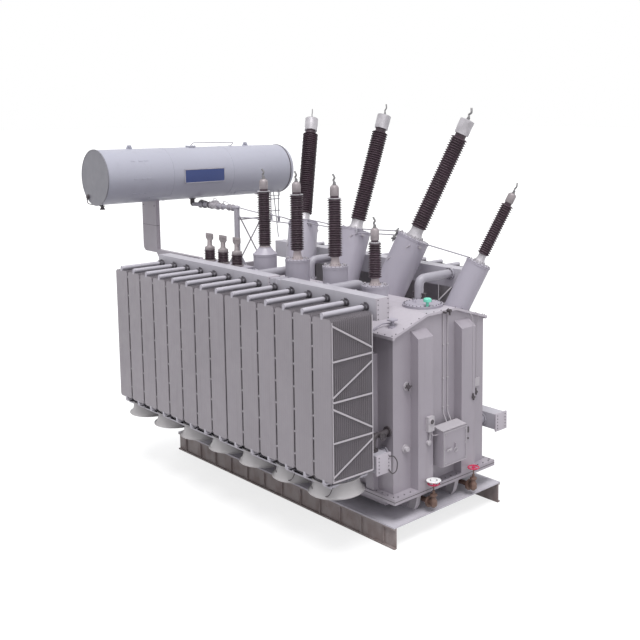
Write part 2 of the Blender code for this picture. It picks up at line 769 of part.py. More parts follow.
def cowl_profile():
    """Bell mouth that flares downward, as a thin wall."""
    steps = 2
    bottom = FAN_TOP_Z - FAN_HEIGHT
    flare = FAN_MOUTH_RADIUS - FAN_THROAT_RADIUS
    outer = [(FAN_THROAT_RADIUS + FAN_WALL, FAN_TOP_Z)]
    for i in range(1, steps + 1):
        angle = math.radians(90 * i / steps)
        radius = FAN_THROAT_RADIUS + FAN_WALL + flare * (1 - math.cos(angle))
        outer.append((radius, FAN_TOP_Z - FAN_HEIGHT * math.sin(angle)))
    inner = [(radius - FAN_WALL, height) for radius, height in reversed(outer)]
    inner[0] = (inner[0][0], bottom)
    return outer + inner + [outer[0]]


def fan_bank(name, side, centres, count):
    """Cowls centred under pairs of radiators, counted from the front end."""
    fan_y = side * (BANK_OUTER_Y - FAN_INSET)
    cowls = []
    for i in range(count):
        cowl = turned("cowl", cowl_profile(), FAN_SIDES)
        cowl.location = ((centres[2 * i] + centres[2 * i + 1]) / 2, fan_y, 0)
        cowls.append(cowl)
    rails = []
    for offset in (-FAN_RAIL_OFFSET, FAN_RAIL_OFFSET):
        rails.append((
            (centres[-1] - COLLECTOR_WIDTH, centres[0] + COLLECTOR_WIDTH),
            (fan_y + offset - FAN_RAIL_WIDTH / 2, fan_y + offset + FAN_RAIL_WIDTH / 2),
            (FAN_TOP_Z - FAN_RAIL_HEIGHT, FAN_TOP_Z),
        ))
    return finish(fused(name, [*cowls, boxes("rails", rails)]), name, FAN_PAINT, smooth=True)


# Conservator

def along_y(obj, y):
    """Turns a piece made along +Z to lie along +Y at the conservator's axis."""
    obj.rotation_mode = "XYZ"
    obj.rotation_euler = (math.radians(-90), 0, 0)
    obj.location = (CONSERVATOR_X, y, CONSERVATOR_Z)
    return obj


def conservator_shell():
    outer = CONSERVATOR_RADIUS
    inner = CONSERVATOR_RADIUS - CONSERVATOR_WALL
    high = CONSERVATOR_SHELL_LENGTH
    profile = [(outer, high), (outer, 0), (inner, 0), (inner, high), (outer, high)]
    shell = turned("conservator_shell", profile, CONSERVATOR_SIDES)
    return finish(along_y(shell, CONSERVATOR_NEAR_Y), "conservator_shell", DRUM_PAINT, smooth=True)


def conservator_flat_end():
    radius = CONSERVATOR_RADIUS + 0.015
    profile = [(0, 0), (radius, 0), (radius, -FLAT_END_THICKNESS), (0, -FLAT_END_THICKNESS)]
    disc = turned("conservator_flat_end", profile, CONSERVATOR_SIDES)
    return finish(
        along_y(disc, CONSERVATOR_NEAR_Y - SEAT), "conservator_flat_end", DRUM_PAINT, smooth=True,
    )


def conservator_dished_end():
    """A shallow cone with rounded shoulder and a bolted inspection flange."""
    rim = CONSERVATOR_RADIUS
    flange = DISHED_END_FLANGE_RADIUS
    depth = DISHED_END_DEPTH
    profile = [
        (0, depth + DISHED_END_FLANGE_THICKNESS), (flange, depth + DISHED_END_FLANGE_THICKNESS),
        (flange, depth), (flange - 0.03, depth - 0.02),
        (rim * 0.86, depth * 0.45), (rim * 0.96, depth * 0.2), (rim, 0), (0, 0),
    ]
    end = turned("conservator_dished_end", profile, CONSERVATOR_SIDES)
    return finish(
        along_y(end, CONSERVATOR_FAR_Y + SEAT), "conservator_dished_end", DRUM_PAINT, smooth=True,
    )


def conservator_column():
    """Box column with its arm, which reaches back over the cover's near corner."""
    left = SUPPORT_COLUMN_X - SUPPORT_COLUMN_WIDTH / 2
    right = SUPPORT_COLUMN_X + SUPPORT_COLUMN_WIDTH / 2
    saddle_top = CONSERVATOR_Z - CONSERVATOR_RADIUS * 0.45
    foot_z = SUPPORT_FOOT_Z
    arm_top = foot_z + SUPPORT_ARM_STEP
    arm_low = arm_top - SUPPORT_ARM_DEPTH
    corner = arc(
        (left + SUPPORT_CORNER_RADIUS, foot_z + SUPPORT_CORNER_RADIUS), SUPPORT_CORNER_RADIUS, 180, 270, 4,
    )
    inner_foot = -TANK_END_X
    centre_y = TANK_SIDE_Y - SUPPORT_INSET
    rest = cover_top(centre_y - SUPPORT_WIDTH / 2) + SEAT
    points = [
        (right, saddle_top), (left, saddle_top), *corner,
        (right - 0.04, foot_z), (right + 0.28, arm_low), (inner_foot, arm_low), (inner_foot, rest),
        (inner_foot + SUPPORT_FOOT_LENGTH, rest), (SUPPORT_ARM_END_X, arm_low + 0.12),
        (SUPPORT_ARM_END_X, arm_top - 0.1), (SUPPORT_ARM_END_X - 0.1, arm_top), (right, arm_top),
    ]
    name = "conservator_support_near"
    support = outline(name, points, SUPPORT_WIDTH, "Y", -centre_y)
    return finish(cut(name, support, [drum_space()]), name, TANK_PAINT)


def conservator_trestle():
    """A leg under the drum, braced to a shorter post, on a bracket from the tank's rear end."""
    half = TRESTLE_LEG / 2
    near, far = TRESTLE_NEAR_Y, TRESTLE_FAR_Y
    leg_x = (TRESTLE_X - half, TRESTLE_X + half)
    sill_top = TRESTLE_SILL_Z + TRESTLE_SILL_HEIGHT
    low = sill_top - half
    saddle_low = CONSERVATOR_Z - CONSERVATOR_RADIUS - TRESTLE_SADDLE_DROP
    uprights = boxes("uprights", [
        (leg_x, (near - half, near + half), (low, TRESTLE_POST_TOP_Z)),
        (leg_x, (far - half, far + half), (low, saddle_low + half)),
    ])
    saddle = boxes("saddle", [(
        (TRESTLE_X - TRESTLE_SADDLE_LENGTH / 2, TRESTLE_X + TRESTLE_SADDLE_LENGTH / 2),
        (far - TRESTLE_LEG, far + TRESTLE_LEG), (saddle_low, CONSERVATOR_Z - CONSERVATOR_RADIUS / 2),
    )])
    sill = boxes("sill", [(
        (TRESTLE_X - half * 1.4, TRESTLE_X + half * 1.4), (near - half * 1.6, far + half * 1.6),
        (TRESTLE_SILL_Z, sill_top),
    )])
    wall = -TANK_END_X - SEAT
    bracket_top = sill_top - TRESTLE_SILL_HEIGHT / 4
    clear_z = COVER_EDGE_TOP_Z - COVER_THICKNESS - COVER_RIM_DEPTH - BRACKET_BELOW_COVER
    clear_x = wall - COVER_OVERHANG - BRACKET_BELOW_COVER
    bracket = outline("bracket", [
        (wall, clear_z), (clear_x, clear_z), (clear_x - BRACKET_TIP_DEPTH, bracket_top),
        (TRESTLE_X, bracket_top), (TRESTLE_X, bracket_top - BRACKET_TIP_DEPTH),
        (wall, clear_z - BRACKET_ROOT_DEPTH),
    ], BRACKET_WIDTH, "Y", near)
    rods = []
    for start_z, end_z in (
        (TRESTLE_BRACE_FROM_POST_Z, TRESTLE_BRACE_TO_LEG_Z),
        (TRESTLE_BRACE_FROM_FOOT_Z, TRESTLE_TIE_Z),
        (TRESTLE_TIE_Z, TRESTLE_TIE_Z),
    ):
        start = (TRESTLE_X, near, start_z)
        end = (TRESTLE_X, far, end_z)
        rods.append(rod("brace", start, end, TRESTLE_BRACE_RADIUS, 6))
    name = "conservator_support_far"
    pieces = [uprights, saddle, sill, bracket, *rods]
    return finish(cut(name, fused(name, pieces), [drum_space()]), name, TANK_PAINT)


def drum_space():
    """The drum's own outline with the seat gap, used to shape what touches it."""
    radius = CONSERVATOR_RADIUS + SEAT / math.cos(math.pi / CONSERVATOR_SIDES)
    length = CONSERVATOR_SHELL_LENGTH
    space = turned("drum_space", [(0, length), (radius, length), (radius, 0), (0, 0)], CONSERVATOR_SIDES)
    return along_y(space, CONSERVATOR_NEAR_Y)


# Turrets and bushings

def bushing_profile(collar_radius, collar, core, shed, porcelain, sheds, neck, cap_radius, cap_height, terminal):
    """Outline from the terminal's top down to the collar's foot, as (radius, height)."""
    top = collar + porcelain
    cap = top + neck
    points = [
        (0, cap + cap_height + terminal), (TERMINAL_RADIUS, cap + cap_height + terminal),
        (TERMINAL_RADIUS, cap + cap_height), (cap_radius * 0.75, cap + cap_height * 0.97),
        (cap_radius, cap + cap_height * 0.85), (cap_radius, cap), (core, cap), (core, top),
    ]
    pitch = porcelain / sheds
    for i in range(sheds):
        high = top - i * pitch
        points.append((shed, high - pitch * 0.2))
        points.append((shed, high - pitch * 0.55))
        points.append((core, high - pitch))
    flange = collar * COLLAR_FLANGE_SHARE
    points.extend([(core, flange * 1.5), (collar_radius, flange), (collar_radius, 0), (0, 0)])
    return points


def frame_at(place, lean_deg=0.0, fan_deg=0.0):
    """A placement whose +Z leans toward +Y by lean_deg and toward +X by fan_deg."""
    axis = Vector((
        math.tan(math.radians(fan_deg)), math.tan(math.radians(lean_deg)), 1.0,
    )).normalized()
    turn = axis.to_track_quat("Z", "Y")
    return Matrix.Translation(place) @ turn.to_matrix().to_4x4()


def place_on(obj, place, shift=0.0):
    obj.matrix_world = place @ Matrix.Translation((0, 0, shift))
    return obj


def turret_profile(radius, length):
    """Flanged cylinder whose top face is at height 0."""
    flange = radius + TURRET_FLANGE
    thick = TURRET_FLANGE_THICKNESS
    return [(0, 0), (flange, 0), (flange, -thick), (radius, -thick), (radius, -length), (0, -length)]


def turret(name, place, profile):
    """Turret from its turned profile, footed on the cover's upper surface."""
    body = turned(name, profile, TURRET_SIDES)
    place_on(body, place)
    return finish(cut(name, body, [under_cover()]), name, COVER_PAINT, smooth=True)


def under_cover():
    """Everything below the cover's upper surface, used to foot the turrets on the cover."""
    depth = 3.0
    width = COVER_EDGE_Y + 1.0
    slope = COVER_RISE / (COVER_EDGE_Y - COVER_FLAT_HALF_WIDTH)
    flat = COVER_EDGE_TOP_Z + COVER_RISE + SEAT
    edge = flat - slope * (width - COVER_FLAT_HALF_WIDTH)
    points = [
        (width, flat - depth), (width, edge), (COVER_FLAT_HALF_WIDTH, flat),
        (-COVER_FLAT_HALF_WIDTH, flat), (-width, edge), (-width, flat - depth),
    ]
    return outline("under_cover", points, TANK_LENGTH + 4.0, "X")


def bushing(name, place, profile, shift=0.0):
    body = turned(name, profile, BUSHING_SIDES)
    place_on(body, place, SEAT + shift)
    return finish(body, name, PORCELAIN, smooth=True)


def hv_sets():
    profile = bushing_profile(
        HV_TURRET_RADIUS * 0.5, HV_COLLAR, HV_CORE_RADIUS, HV_SHED_RADIUS, HV_PORCELAIN, HV_SHEDS,
        HV_NECK, HV_CAP_RADIUS, HV_CAP_HEIGHT, HV_TERMINAL,
    )
    for letter, x, fan in (
        ("a", HV_A_X, -HV_FAN_DEG), ("b", HV_B_X, 0.0), ("c", HV_C_X, HV_FAN_DEG),
    ):
        place = frame_at((x, HV_TOP_Y, HV_TOP_Z), HV_LEAN_DEG, fan)
        turret("hv_turret_" + letter, place, turret_profile(HV_TURRET_RADIUS, HV_TURRET_LENGTH))
        bushing("hv_bushing_" + letter, place, profile)
    place = frame_at(
        (HV_NEUTRAL_X, HV_NEUTRAL_Y, HV_NEUTRAL_TOP_Z), HV_NEUTRAL_LEAN_DEG, HV_NEUTRAL_FAN_DEG,
    )
    turret("hv_neutral_turret", place, turret_profile(HV_NEUTRAL_TURRET_RADIUS, HV_NEUTRAL_TURRET_LENGTH))
    profile = bushing_profile(
        HV_NEUTRAL_TURRET_RADIUS * 0.5, HV_NEUTRAL_COLLAR, NEUTRAL_CORE_RADIUS, NEUTRAL_SHED_RADIUS,
        HV_NEUTRAL_PORCELAIN, HV_NEUTRAL_SHEDS, NEUTRAL_NECK, NEUTRAL_CAP_RADIUS, NEUTRAL_CAP_HEIGHT,
        NEUTRAL_TERMINAL,
    )
    bushing("hv_neutral_bushing", place, profile)


def mv_sets():
    """Three upright phases and their neutral; phase A stands on a conical adapter."""
    length = MV_TOP_Z - COVER_EDGE_TOP_Z
    plain = turret_profile(MV_TURRET_RADIUS, length)
    cone = [(0, MV_CONE_HEIGHT), (MV_CONE_TOP_RADIUS, MV_CONE_HEIGHT), *plain[1:]]
    for letter, x, shape, lift in (
        ("a", MV_A_X, cone, MV_CONE_HEIGHT), ("b", MV_B_X, plain, 0.0), ("c", MV_C_X, plain, 0.0),
    ):
        place = frame_at((x, MV_Y, MV_TOP_Z))
        turret("mv_turret_" + letter, place, shape)
        profile = bushing_profile(
            MV_TURRET_RADIUS * 0.48, MV_COLLAR - lift, MV_CORE_RADIUS, MV_SHED_RADIUS, MV_PORCELAIN,
            MV_SHEDS, MV_NECK, MV_CAP_RADIUS, MV_CAP_HEIGHT, MV_TERMINAL,
        )
        bushing("mv_bushing_" + letter, place, profile, lift)
    place = frame_at((MV_NEUTRAL_X, MV_Y, MV_NEUTRAL_TOP_Z))
    length = MV_NEUTRAL_TOP_Z - COVER_EDGE_TOP_Z
    turret("mv_neutral_turret", place, turret_profile(MV_NEUTRAL_TURRET_RADIUS, length))
    profile = bushing_profile(
        MV_NEUTRAL_TURRET_RADIUS * 0.48, MV_NEUTRAL_COLLAR, NEUTRAL_CORE_RADIUS, NEUTRAL_SHED_RADIUS,
        MV_NEUTRAL_PORCELAIN, MV_NEUTRAL_SHEDS, NEUTRAL_NECK, NEUTRAL_CAP_RADIUS, NEUTRAL_CAP_HEIGHT,
        NEUTRAL_TERMINAL,
    )
    bushing("mv_neutral_bushing", place, profile)


def lv_bushing_box():
    """Raised box on the cover that carries the three low-voltage bushings."""
    x0 = LV_A_X - 0.35
    x1 = LV_A_X + 2 * LV_PITCH + 0.35
    box = boxes("lv_box", [((x0, x1), (LV_Y - 0.25, LV_Y + 0.25), (COVER_EDGE_TOP_Z, LV_BASE_Z))])
    return finish(cut("lv_bushing_box", box, [under_cover()]), "lv_bushing_box", COVER_PAINT)


def lv_sets():
    """Low-voltage bushings, each with a stem and a flat palm whose shoulders are cut."""
    top = LV_COLLAR + LV_PORCELAIN
    cap = top + LV_CAP_HEIGHT
    pitch = LV_PORCELAIN / LV_SHEDS
    base = LV_CORE_RADIUS + 0.04
    profile = [
        (0, cap + LV_STEM_HEIGHT), (LV_STEM_RADIUS, cap + LV_STEM_HEIGHT), (LV_STEM_RADIUS, cap),
        (LV_CAP_RADIUS, cap), (LV_CAP_RADIUS, top),
    ]
    for i in range(LV_SHEDS):
        high = top - i * pitch
        profile.extend([(LV_CORE_RADIUS, high), (LV_SHED_RADIUS, high - pitch * 0.75)])
    profile.extend([(LV_CORE_RADIUS, LV_COLLAR), (base, LV_COLLAR * 0.8), (base, 0), (0, 0)])
    for index, letter in enumerate("abc"):
        x = LV_A_X + index * LV_PITCH
        low = LV_BASE_Z + cap + LV_STEM_HEIGHT - 0.03
        high = low + LV_PALM_HEIGHT
        half = LV_PALM_WIDTH / 2
        body = turned("lv_bushing", profile, BUSHING_SIDES)
        place_on(body, Matrix.Translation((x, LV_Y, LV_BASE_Z + SEAT)))
        palm = outline("palm", [
            (x - LV_STEM_RADIUS, low), (x + LV_STEM_RADIUS, low), (x + half, low + LV_PALM_HEIGHT * 0.4),
            (x + half, high), (x - half, high), (x - half, low + LV_PALM_HEIGHT * 0.4),
        ], LV_PALM_THICKNESS, "Y", LV_Y)
        name = "lv_bushing_" + letter
        finish(fused(name, [body, palm]), name, PORCELAIN, smooth=True)


# Oil pipe

def oil_pipe():
    """From the drum's underside through a valve to the gusseted riser on the cover."""
    cover = COVER_EDGE_TOP_Z + COVER_RISE + SEAT
    drum = CONSERVATOR_Z - math.sqrt(CONSERVATOR_RADIUS ** 2 - OIL_PIPE_RADIUS ** 2)
    riser = rod(
        "riser", (OIL_RISER_X, OIL_RISER_Y, cover), (OIL_RISER_X, OIL_RISER_Y, OIL_RISER_TOP_Z),
        OIL_RISER_RADIUS,
    )
    flange = rod(
        "flange", (OIL_RISER_X, OIL_RISER_Y, cover), (OIL_RISER_X, OIL_RISER_Y, cover + 0.03),
        OIL_RISER_RADIUS + 0.06,
    )
    gussets = outline("gussets", [
        (OIL_RISER_X - OIL_RISER_GUSSET_REACH, cover), (OIL_RISER_X + OIL_RISER_GUSSET_REACH, cover),
        (OIL_RISER_X + OIL_RISER_RADIUS, cover + OIL_RISER_GUSSET_HEIGHT),
        (OIL_RISER_X - OIL_RISER_RADIUS, cover + OIL_RISER_GUSSET_HEIGHT),
    ], 0.02, "Y", OIL_RISER_Y)
    bend = OIL_PIPE_RADIUS * 2
    run = pipe(
        "run",
        [
            (OIL_RISER_X, OIL_RISER_Y, OIL_PIPE_Z), (OIL_VALVE_X + 0.2, OIL_RISER_Y, OIL_PIPE_Z),
            (CONSERVATOR_X + bend, OIL_PIPE_START_Y, OIL_PIPE_Z),
            (CONSERVATOR_X, OIL_PIPE_START_Y, OIL_PIPE_Z + bend * 0.8),
            (CONSERVATOR_X, OIL_PIPE_START_Y, drum + 0.01),
        ],
        OIL_PIPE_RADIUS,
    )
    slope = OIL_PIPE_START_Y * (OIL_VALVE_X + 0.2 - OIL_VALVE_X) / (OIL_VALVE_X + 0.2 - CONSERVATOR_X - bend)
    direction = Vector((OIL_VALVE_X + 0.2 - CONSERVATOR_X - bend, -OIL_PIPE_START_Y, 0)).normalized()
    middle = Vector((OIL_VALVE_X, slope, OIL_PIPE_Z))
    reach = direction * OIL_VALVE_LENGTH / 2
    valve = rod("valve", middle - reach, middle + reach, OIL_VALVE_RADIUS)
    body = fused("oil_pipe", [riser, flange, gussets, run, valve])
    return finish(cut("oil_pipe", body, [drum_space()]), "oil_pipe", COVER_PAINT, smooth=True)


# Control box

def control_box():
    front = CONTROL_BOX_FRONT_X - DOOR_THICKNESS - SEAT
    back = CONTROL_BOX_FRONT_X - CONTROL_BOX_DEPTH
    y0 = CONTROL_BOX_Y - CONTROL_BOX_WIDTH / 2
    y1 = CONTROL_BOX_Y + CONTROL_BOX_WIDTH / 2
    z0 = CONTROL_BOX_Z
    z1 = CONTROL_BOX_Z + CONTROL_BOX_HEIGHT
    wall = CONTROL_BOX_WALL
    case = boxes("case", [((back, front), (y0, y1), (z0, z1))])
    space = boxes("space", [((back + wall, front + 0.05), (y0 + wall, y1 - wall), (z0 + wall, z1 - wall))])
    case = cut("case", case, [space])
    rails = boxes("rails", [
        ((TANK_END_X + SEAT, back + wall / 2), (y0 + 0.08, y1 - 0.08), (z, z + CONTROL_BOX_RAIL))
        for z in (z0 + 0.10, z1 - 0.10 - CONTROL_BOX_RAIL)
    ])
    return finish(fused("control_box", [case, rails]), "control_box", TANK_PAINT)


def control_box_door():
    """Door hinged at its +Y edge; its origin is on the hinge axis."""
    hinge_y = CONTROL_BOX_Y + CONTROL_BOX_WIDTH / 2 + HINGE_BARREL_RADIUS
    hinge_x = CONTROL_BOX_FRONT_X
    low = CONTROL_BOX_Z + DOOR_MARGIN
    high = CONTROL_BOX_Z + CONTROL_BOX_HEIGHT - DOOR_MARGIN
    leaf = boxes("leaf", [(
        (-DOOR_THICKNESS, 0), (-CONTROL_BOX_WIDTH - HINGE_BARREL_RADIUS + DOOR_MARGIN, 0), (low, high),
    )])
    barrel = rod("barrel", (0, 0, low), (0, 0, high), HINGE_BARREL_RADIUS)
    middle = (low + high) / 2
    knob_y = -CONTROL_BOX_WIDTH / 2
    knob = boxes("knob", [(
        (-DOOR_THICKNESS / 2, DOOR_HANDLE_DEPTH),
        (knob_y - DOOR_HANDLE_RADIUS / 2, knob_y + DOOR_HANDLE_RADIUS / 2),
        (middle - DOOR_HANDLE_RADIUS * 2, middle + DOOR_HANDLE_RADIUS * 2),
    )])
    door = fused("control_box_door", [leaf, barrel, knob])
    door.location = (hinge_x, hinge_y, 0)
    return finish(door, "control_box_door", TANK_PAINT)


# Drain valves

def drain_valve(name, y):
    """Gate valve on a stub that comes out of the tray, with its stem upright."""
    stub = rod(
        "stub", (TRAY_LENGTH / 2 + SEAT, y, VALVE_PIPE_Z), (VALVE_X, y, VALVE_PIPE_Z), VALVE_PIPE_RADIUS, 10,
    )
    collar = rod(
        "collar", (VALVE_X - 0.13, y, VALVE_PIPE_Z), (VALVE_X - 0.09, y, VALVE_PIPE_Z),
        VALVE_FLANGE_RADIUS, 12,
    )
    stem_top = WHEEL_Z - WHEEL_HUB_HEIGHT / 2 - SEAT
    profile = [
        (0, stem_top), (VALVE_STEM_RADIUS, stem_top), (VALVE_STEM_RADIUS, VALVE_BODY_TOP_Z + 0.06),
        (0.03, VALVE_BODY_TOP_Z + 0.05), (0.03, VALVE_BODY_TOP_Z),
        (VALVE_BODY_RADIUS, VALVE_BODY_TOP_Z - 0.02), (VALVE_BODY_RADIUS, VALVE_BODY_TOP_Z - 0.05),
        (0.045, VALVE_BODY_TOP_Z - 0.08), (VALVE_BODY_RADIUS, VALVE_PIPE_Z + 0.04),
        (VALVE_BODY_RADIUS, VALVE_PIPE_Z - 0.05), (0.04, VALVE_PIPE_Z - 0.09), (0, VALVE_PIPE_Z - 0.09),
    ]
    body = turned("body", profile, 10)
    body.location = (VALVE_X, y, 0)
    return finish(fused(name, [body, stub, collar]), name, BRASS, smooth=True)


def handwheel(name, y):
    """Rim, spokes and hub about +Z; its origin is on the stem's axis."""
    rim_profile = [
        (WHEEL_RADIUS + WHEEL_RIM_RADIUS * math.cos(a), -WHEEL_RIM_RADIUS * math.sin(a))
        for a in [math.radians(30 + 60 * i) for i in range(7)]
    ]
    rim = turned("rim", rim_profile, 16)
    hub = rod("hub", (0, 0, -WHEEL_HUB_HEIGHT / 2), (0, 0, WHEEL_HUB_HEIGHT / 2), WHEEL_HUB_RADIUS, 8)
    spokes = []
    for i in range(WHEEL_SPOKES):
        angle = math.radians(360 * i / WHEEL_SPOKES)
        end = (WHEEL_RADIUS * math.cos(angle), WHEEL_RADIUS * math.sin(angle), 0)
        spokes.append(rod("spoke", (0, 0, 0), end, WHEEL_RIM_RADIUS * 0.6, 4))
    wheel = fused(name, [rim, hub, *spokes])
    wheel.location = (VALVE_X, y, WHEEL_Z)
    return finish(wheel, name, RED_PAINT, smooth=True)


# Assembly

clear_scene()
parts = new_collection(OBJECT_NAME)

TANK_PAINT = paint("tank_paint", (0.34, 0.32, 0.34))
SKID_PAINT = paint("skid_paint", (0.27, 0.24, 0.23))
COVER_PAINT = paint("cover_paint", (0.55, 0.53, 0.58))
RADIATOR_PAINT = paint("radiator_paint", (0.31, 0.31, 0.33))
FAN_PAINT = paint("fan_paint", (0.45, 0.46, 0.43))
DRUM_PAINT = paint("drum_paint", (0.46, 0.46, 0.54), roughness=0.3)
PORCELAIN = paint("porcelain", (0.055, 0.025, 0.035), roughness=0.25)
BRASS = paint("brass", (0.30, 0.20, 0.12), roughness=0.5, metallic=0.8)
RED_PAINT = paint("red_paint", (0.60, 0.03, 0.10), roughness=0.4)

skid_runner("skid_runner_near", -1)
skid_runner("skid_runner_far", 1)
skid_deck()
tank_cradle()
tank_shell()
tank_cover()

REAR_SPAN = (HEADER_REAR_X, HEADER_BREAK_REAR_X)
FRONT_SPAN = (HEADER_BREAK_FRONT_X, BANK_FRONT_X)
for label, side, left_out, shift, upper_end, pipe_y, front_pipe_x, rear_pipe_x, fans in (
    ("near", -1, 0, 0.0, BANK_FRONT_X, UPPER_PIPE_NEAR_Y,
     UPPER_PIPE_NEAR_FRONT_X, UPPER_PIPE_NEAR_REAR_X, FANS_NEAR),
    ("far", 1, RADIATORS_LEFT_OUT_FAR, RADIATOR_SHIFT_FAR, HEADER_FAR_UPPER_END_X, UPPER_PIPE_FAR_Y,
     UPPER_PIPE_FAR_FRONT_X, UPPER_PIPE_FAR_REAR_X, FANS_FAR),
):
    front_centres = radiator_centres(left_out, RADIATORS_FRONT - left_out, shift)
    rear_centres = radiator_centres(RADIATORS_FRONT, RADIATORS_REAR, shift)
    radiator_group(
        "radiators_front_" + label, side, front_centres, (HEADER_BREAK_FRONT_X, upper_end), FRONT_SPAN,
        front_pipe_x, pipe_y, LOWER_PIPE_FRONT_X,
    )
    radiator_group(
        "radiators_rear_" + label, side, rear_centres, REAR_SPAN, REAR_SPAN,
        rear_pipe_x, pipe_y, LOWER_PIPE_REAR_X,
    )
    fan_bank("fans_" + label, side, front_centres + rear_centres, fans)

conservator_shell()
conservator_flat_end()
conservator_dished_end()
conservator_column()
conservator_trestle()
oil_pipe()
hv_sets()
mv_sets()
lv_bushing_box()
lv_sets()
control_box()
control_box_door()
for label, y in (("near", VALVE_NEAR_Y), ("far", VALVE_FAR_Y)):
    drain_valve("drain_valve_" + label, y)
    handwheel("handwheel_" + label, y)
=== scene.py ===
import json
import math

import bmesh
import bpy
from mathutils import Matrix, Vector


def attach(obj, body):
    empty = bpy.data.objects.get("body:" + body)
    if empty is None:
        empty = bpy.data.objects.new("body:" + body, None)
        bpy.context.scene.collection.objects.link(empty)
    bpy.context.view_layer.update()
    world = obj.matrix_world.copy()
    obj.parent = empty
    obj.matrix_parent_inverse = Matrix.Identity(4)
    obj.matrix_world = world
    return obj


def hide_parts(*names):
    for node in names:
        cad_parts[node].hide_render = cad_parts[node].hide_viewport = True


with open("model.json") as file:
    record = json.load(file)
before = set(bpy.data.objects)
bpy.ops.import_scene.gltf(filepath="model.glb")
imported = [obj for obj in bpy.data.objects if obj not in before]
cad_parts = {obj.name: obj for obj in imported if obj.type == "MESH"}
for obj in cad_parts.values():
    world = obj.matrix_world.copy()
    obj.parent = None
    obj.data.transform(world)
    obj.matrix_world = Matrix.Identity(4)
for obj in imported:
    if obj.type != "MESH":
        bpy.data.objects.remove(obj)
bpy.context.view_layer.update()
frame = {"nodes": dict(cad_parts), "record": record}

SCENE = bpy.context.scene
BODY = "transformer"


# Mesh building

class Shape:
    """Points and faces of one piece, gathered before they become a mesh."""

    def __init__(self):
        self.points = []
        self.faces = []

    def add(self, points, faces, place=None):
        base = len(self.points)
        if place is not None:
            points = [place @ Vector(point) for point in points]
        self.points.extend(tuple(point) for point in points)
        self.faces.extend(tuple(base + index for index in face) for face in faces)

    def box(self, x, y, z, place=None):
        corners = [(a, b, c) for a in x for b in y for c in z]
        faces = [(0, 1, 3, 2), (4, 6, 7, 5), (0, 4, 5, 1), (2, 3, 7, 6), (0, 2, 6, 4), (1, 5, 7, 3)]
        self.add(corners, faces, place)

    def prism(self, outline, axis, low, high, place=None):
        """A closed outline pushed along an axis; it lists the two other axes in order."""
        points = []
        for level in (low, high):
            for u, v in outline:
                point = [u, v]
                point.insert(axis, level)
                points.append(tuple(point))
        count = len(outline)
        faces = [tuple(range(count)), tuple(range(2 * count - 1, count - 1, -1))]
        for i in range(count):
            j = (i + 1) % count
            faces.append((i, j, count + j, count + i))
        self.add(points, faces, place)

    def lathe(self, profile, place, sides):
        """A profile of (radius, height) turned about z."""
        points = []
        rows = []
        for radius, height in profile:
            if radius < 1e-6:
                rows.append([len(points)] * sides)
                points.append((0, 0, height))
            else:
                rows.append(list(range(len(points), len(points) + sides)))
                for i in range(sides):
                    angle = 2 * math.pi * i / sides
                    points.append((radius * math.cos(angle), radius * math.sin(angle), height))
        faces = []
        for upper, lower in zip(rows, rows[1:]):
            for i in range(sides):
                j = (i + 1) % sides
                corners = []
                for index in (upper[i], upper[j], lower[j], lower[i]):
                    if index not in corners:
                        corners.append(index)
                if len(corners) > 2:
                    faces.append(tuple(corners))
        self.add(points, faces, place)

    def disc(self, radius, low, high, place, sides):
        self.lathe([(0, high), (radius, high), (radius, low), (0, low)], place, sides)

    def rod(self, start, end, radius, sides):
        along = Vector(end) - Vector(start)
        self.disc(radius, 0, along.length, facing(start, along), sides)

    def tube(self, path, radius, sides):
        path = [Vector(point) for point in path]
        tangents = []
        for i in range(len(path)):
            before = path[max(i - 1, 0)]
            after = path[min(i + 1, len(path) - 1)]
            tangents.append((after - before).normalized())
        across = tangents[0].orthogonal().normalized()
        points = []
        for point, tangent in zip(path, tangents):
            across = (across - tangent * across.dot(tangent)).normalized()
            other = tangent.cross(across)
            for i in range(sides):
                angle = 2 * math.pi * i / sides
                points.append(point + across * radius * math.cos(angle) + other * radius * math.sin(angle))
        faces = [tuple(range(sides)), tuple(range(len(points) - 1, len(points) - 1 - sides, -1))]
        for base in range(0, (len(path) - 1) * sides, sides):
            for i in range(sides):
                j = (i + 1) % sides
                faces.append((base + i, base + j, base + sides + j, base + sides + i))
        self.add(points, faces)

    def pipe(self, points, bend, radius, sides, steps=6):
        """A tube through some points with rounded corners."""
        self.tube(rounded(points, bend, steps), radius, sides)

    def torus(self, radius, thickness, place, sides):
        angles = [math.pi / 4 * i for i in range(9)]
        profile = [(radius + thickness * math.cos(angle), -thickness * math.sin(angle)) for angle in angles]
        self.lathe(profile, place, sides)

    def bolt(self, place, radius, height):
        """Hexagon head with a small washer, standing on the plane z = 0."""
        self.lathe([
            (0, height), (radius * 0.86, height), (radius, height * 0.85), (radius, height * 0.2), (0, height * 0.2),
        ], place, 6)
        self.disc(radius * 1.25, 0, height * 0.25, place, 10)

    def bolt_circle(self, place, circle, count, radius, height):
        for i in range(count):
            angle = 2 * math.pi * i / count
            self.bolt(place @ at(circle * math.cos(angle), circle * math.sin(angle), 0), radius, height)


def rounded(points, bend, steps):
    """The route through some points with its corners rounded."""
    points = [Vector(point) for point in points]
    route = [points[0]]
    for before, corner, after in zip(points, points[1:], points[2:]):
        back = before - corner
        on = after - corner
        reach = min(bend, back.length * 0.49, on.length * 0.49)
        start = corner + back.normalized() * reach
        end = corner + on.normalized() * reach
        for i in range(steps + 1):
            t = i / steps
            route.append(start.lerp(corner, t).lerp(corner.lerp(end, t), t))
    route.append(points[-1])
    return route


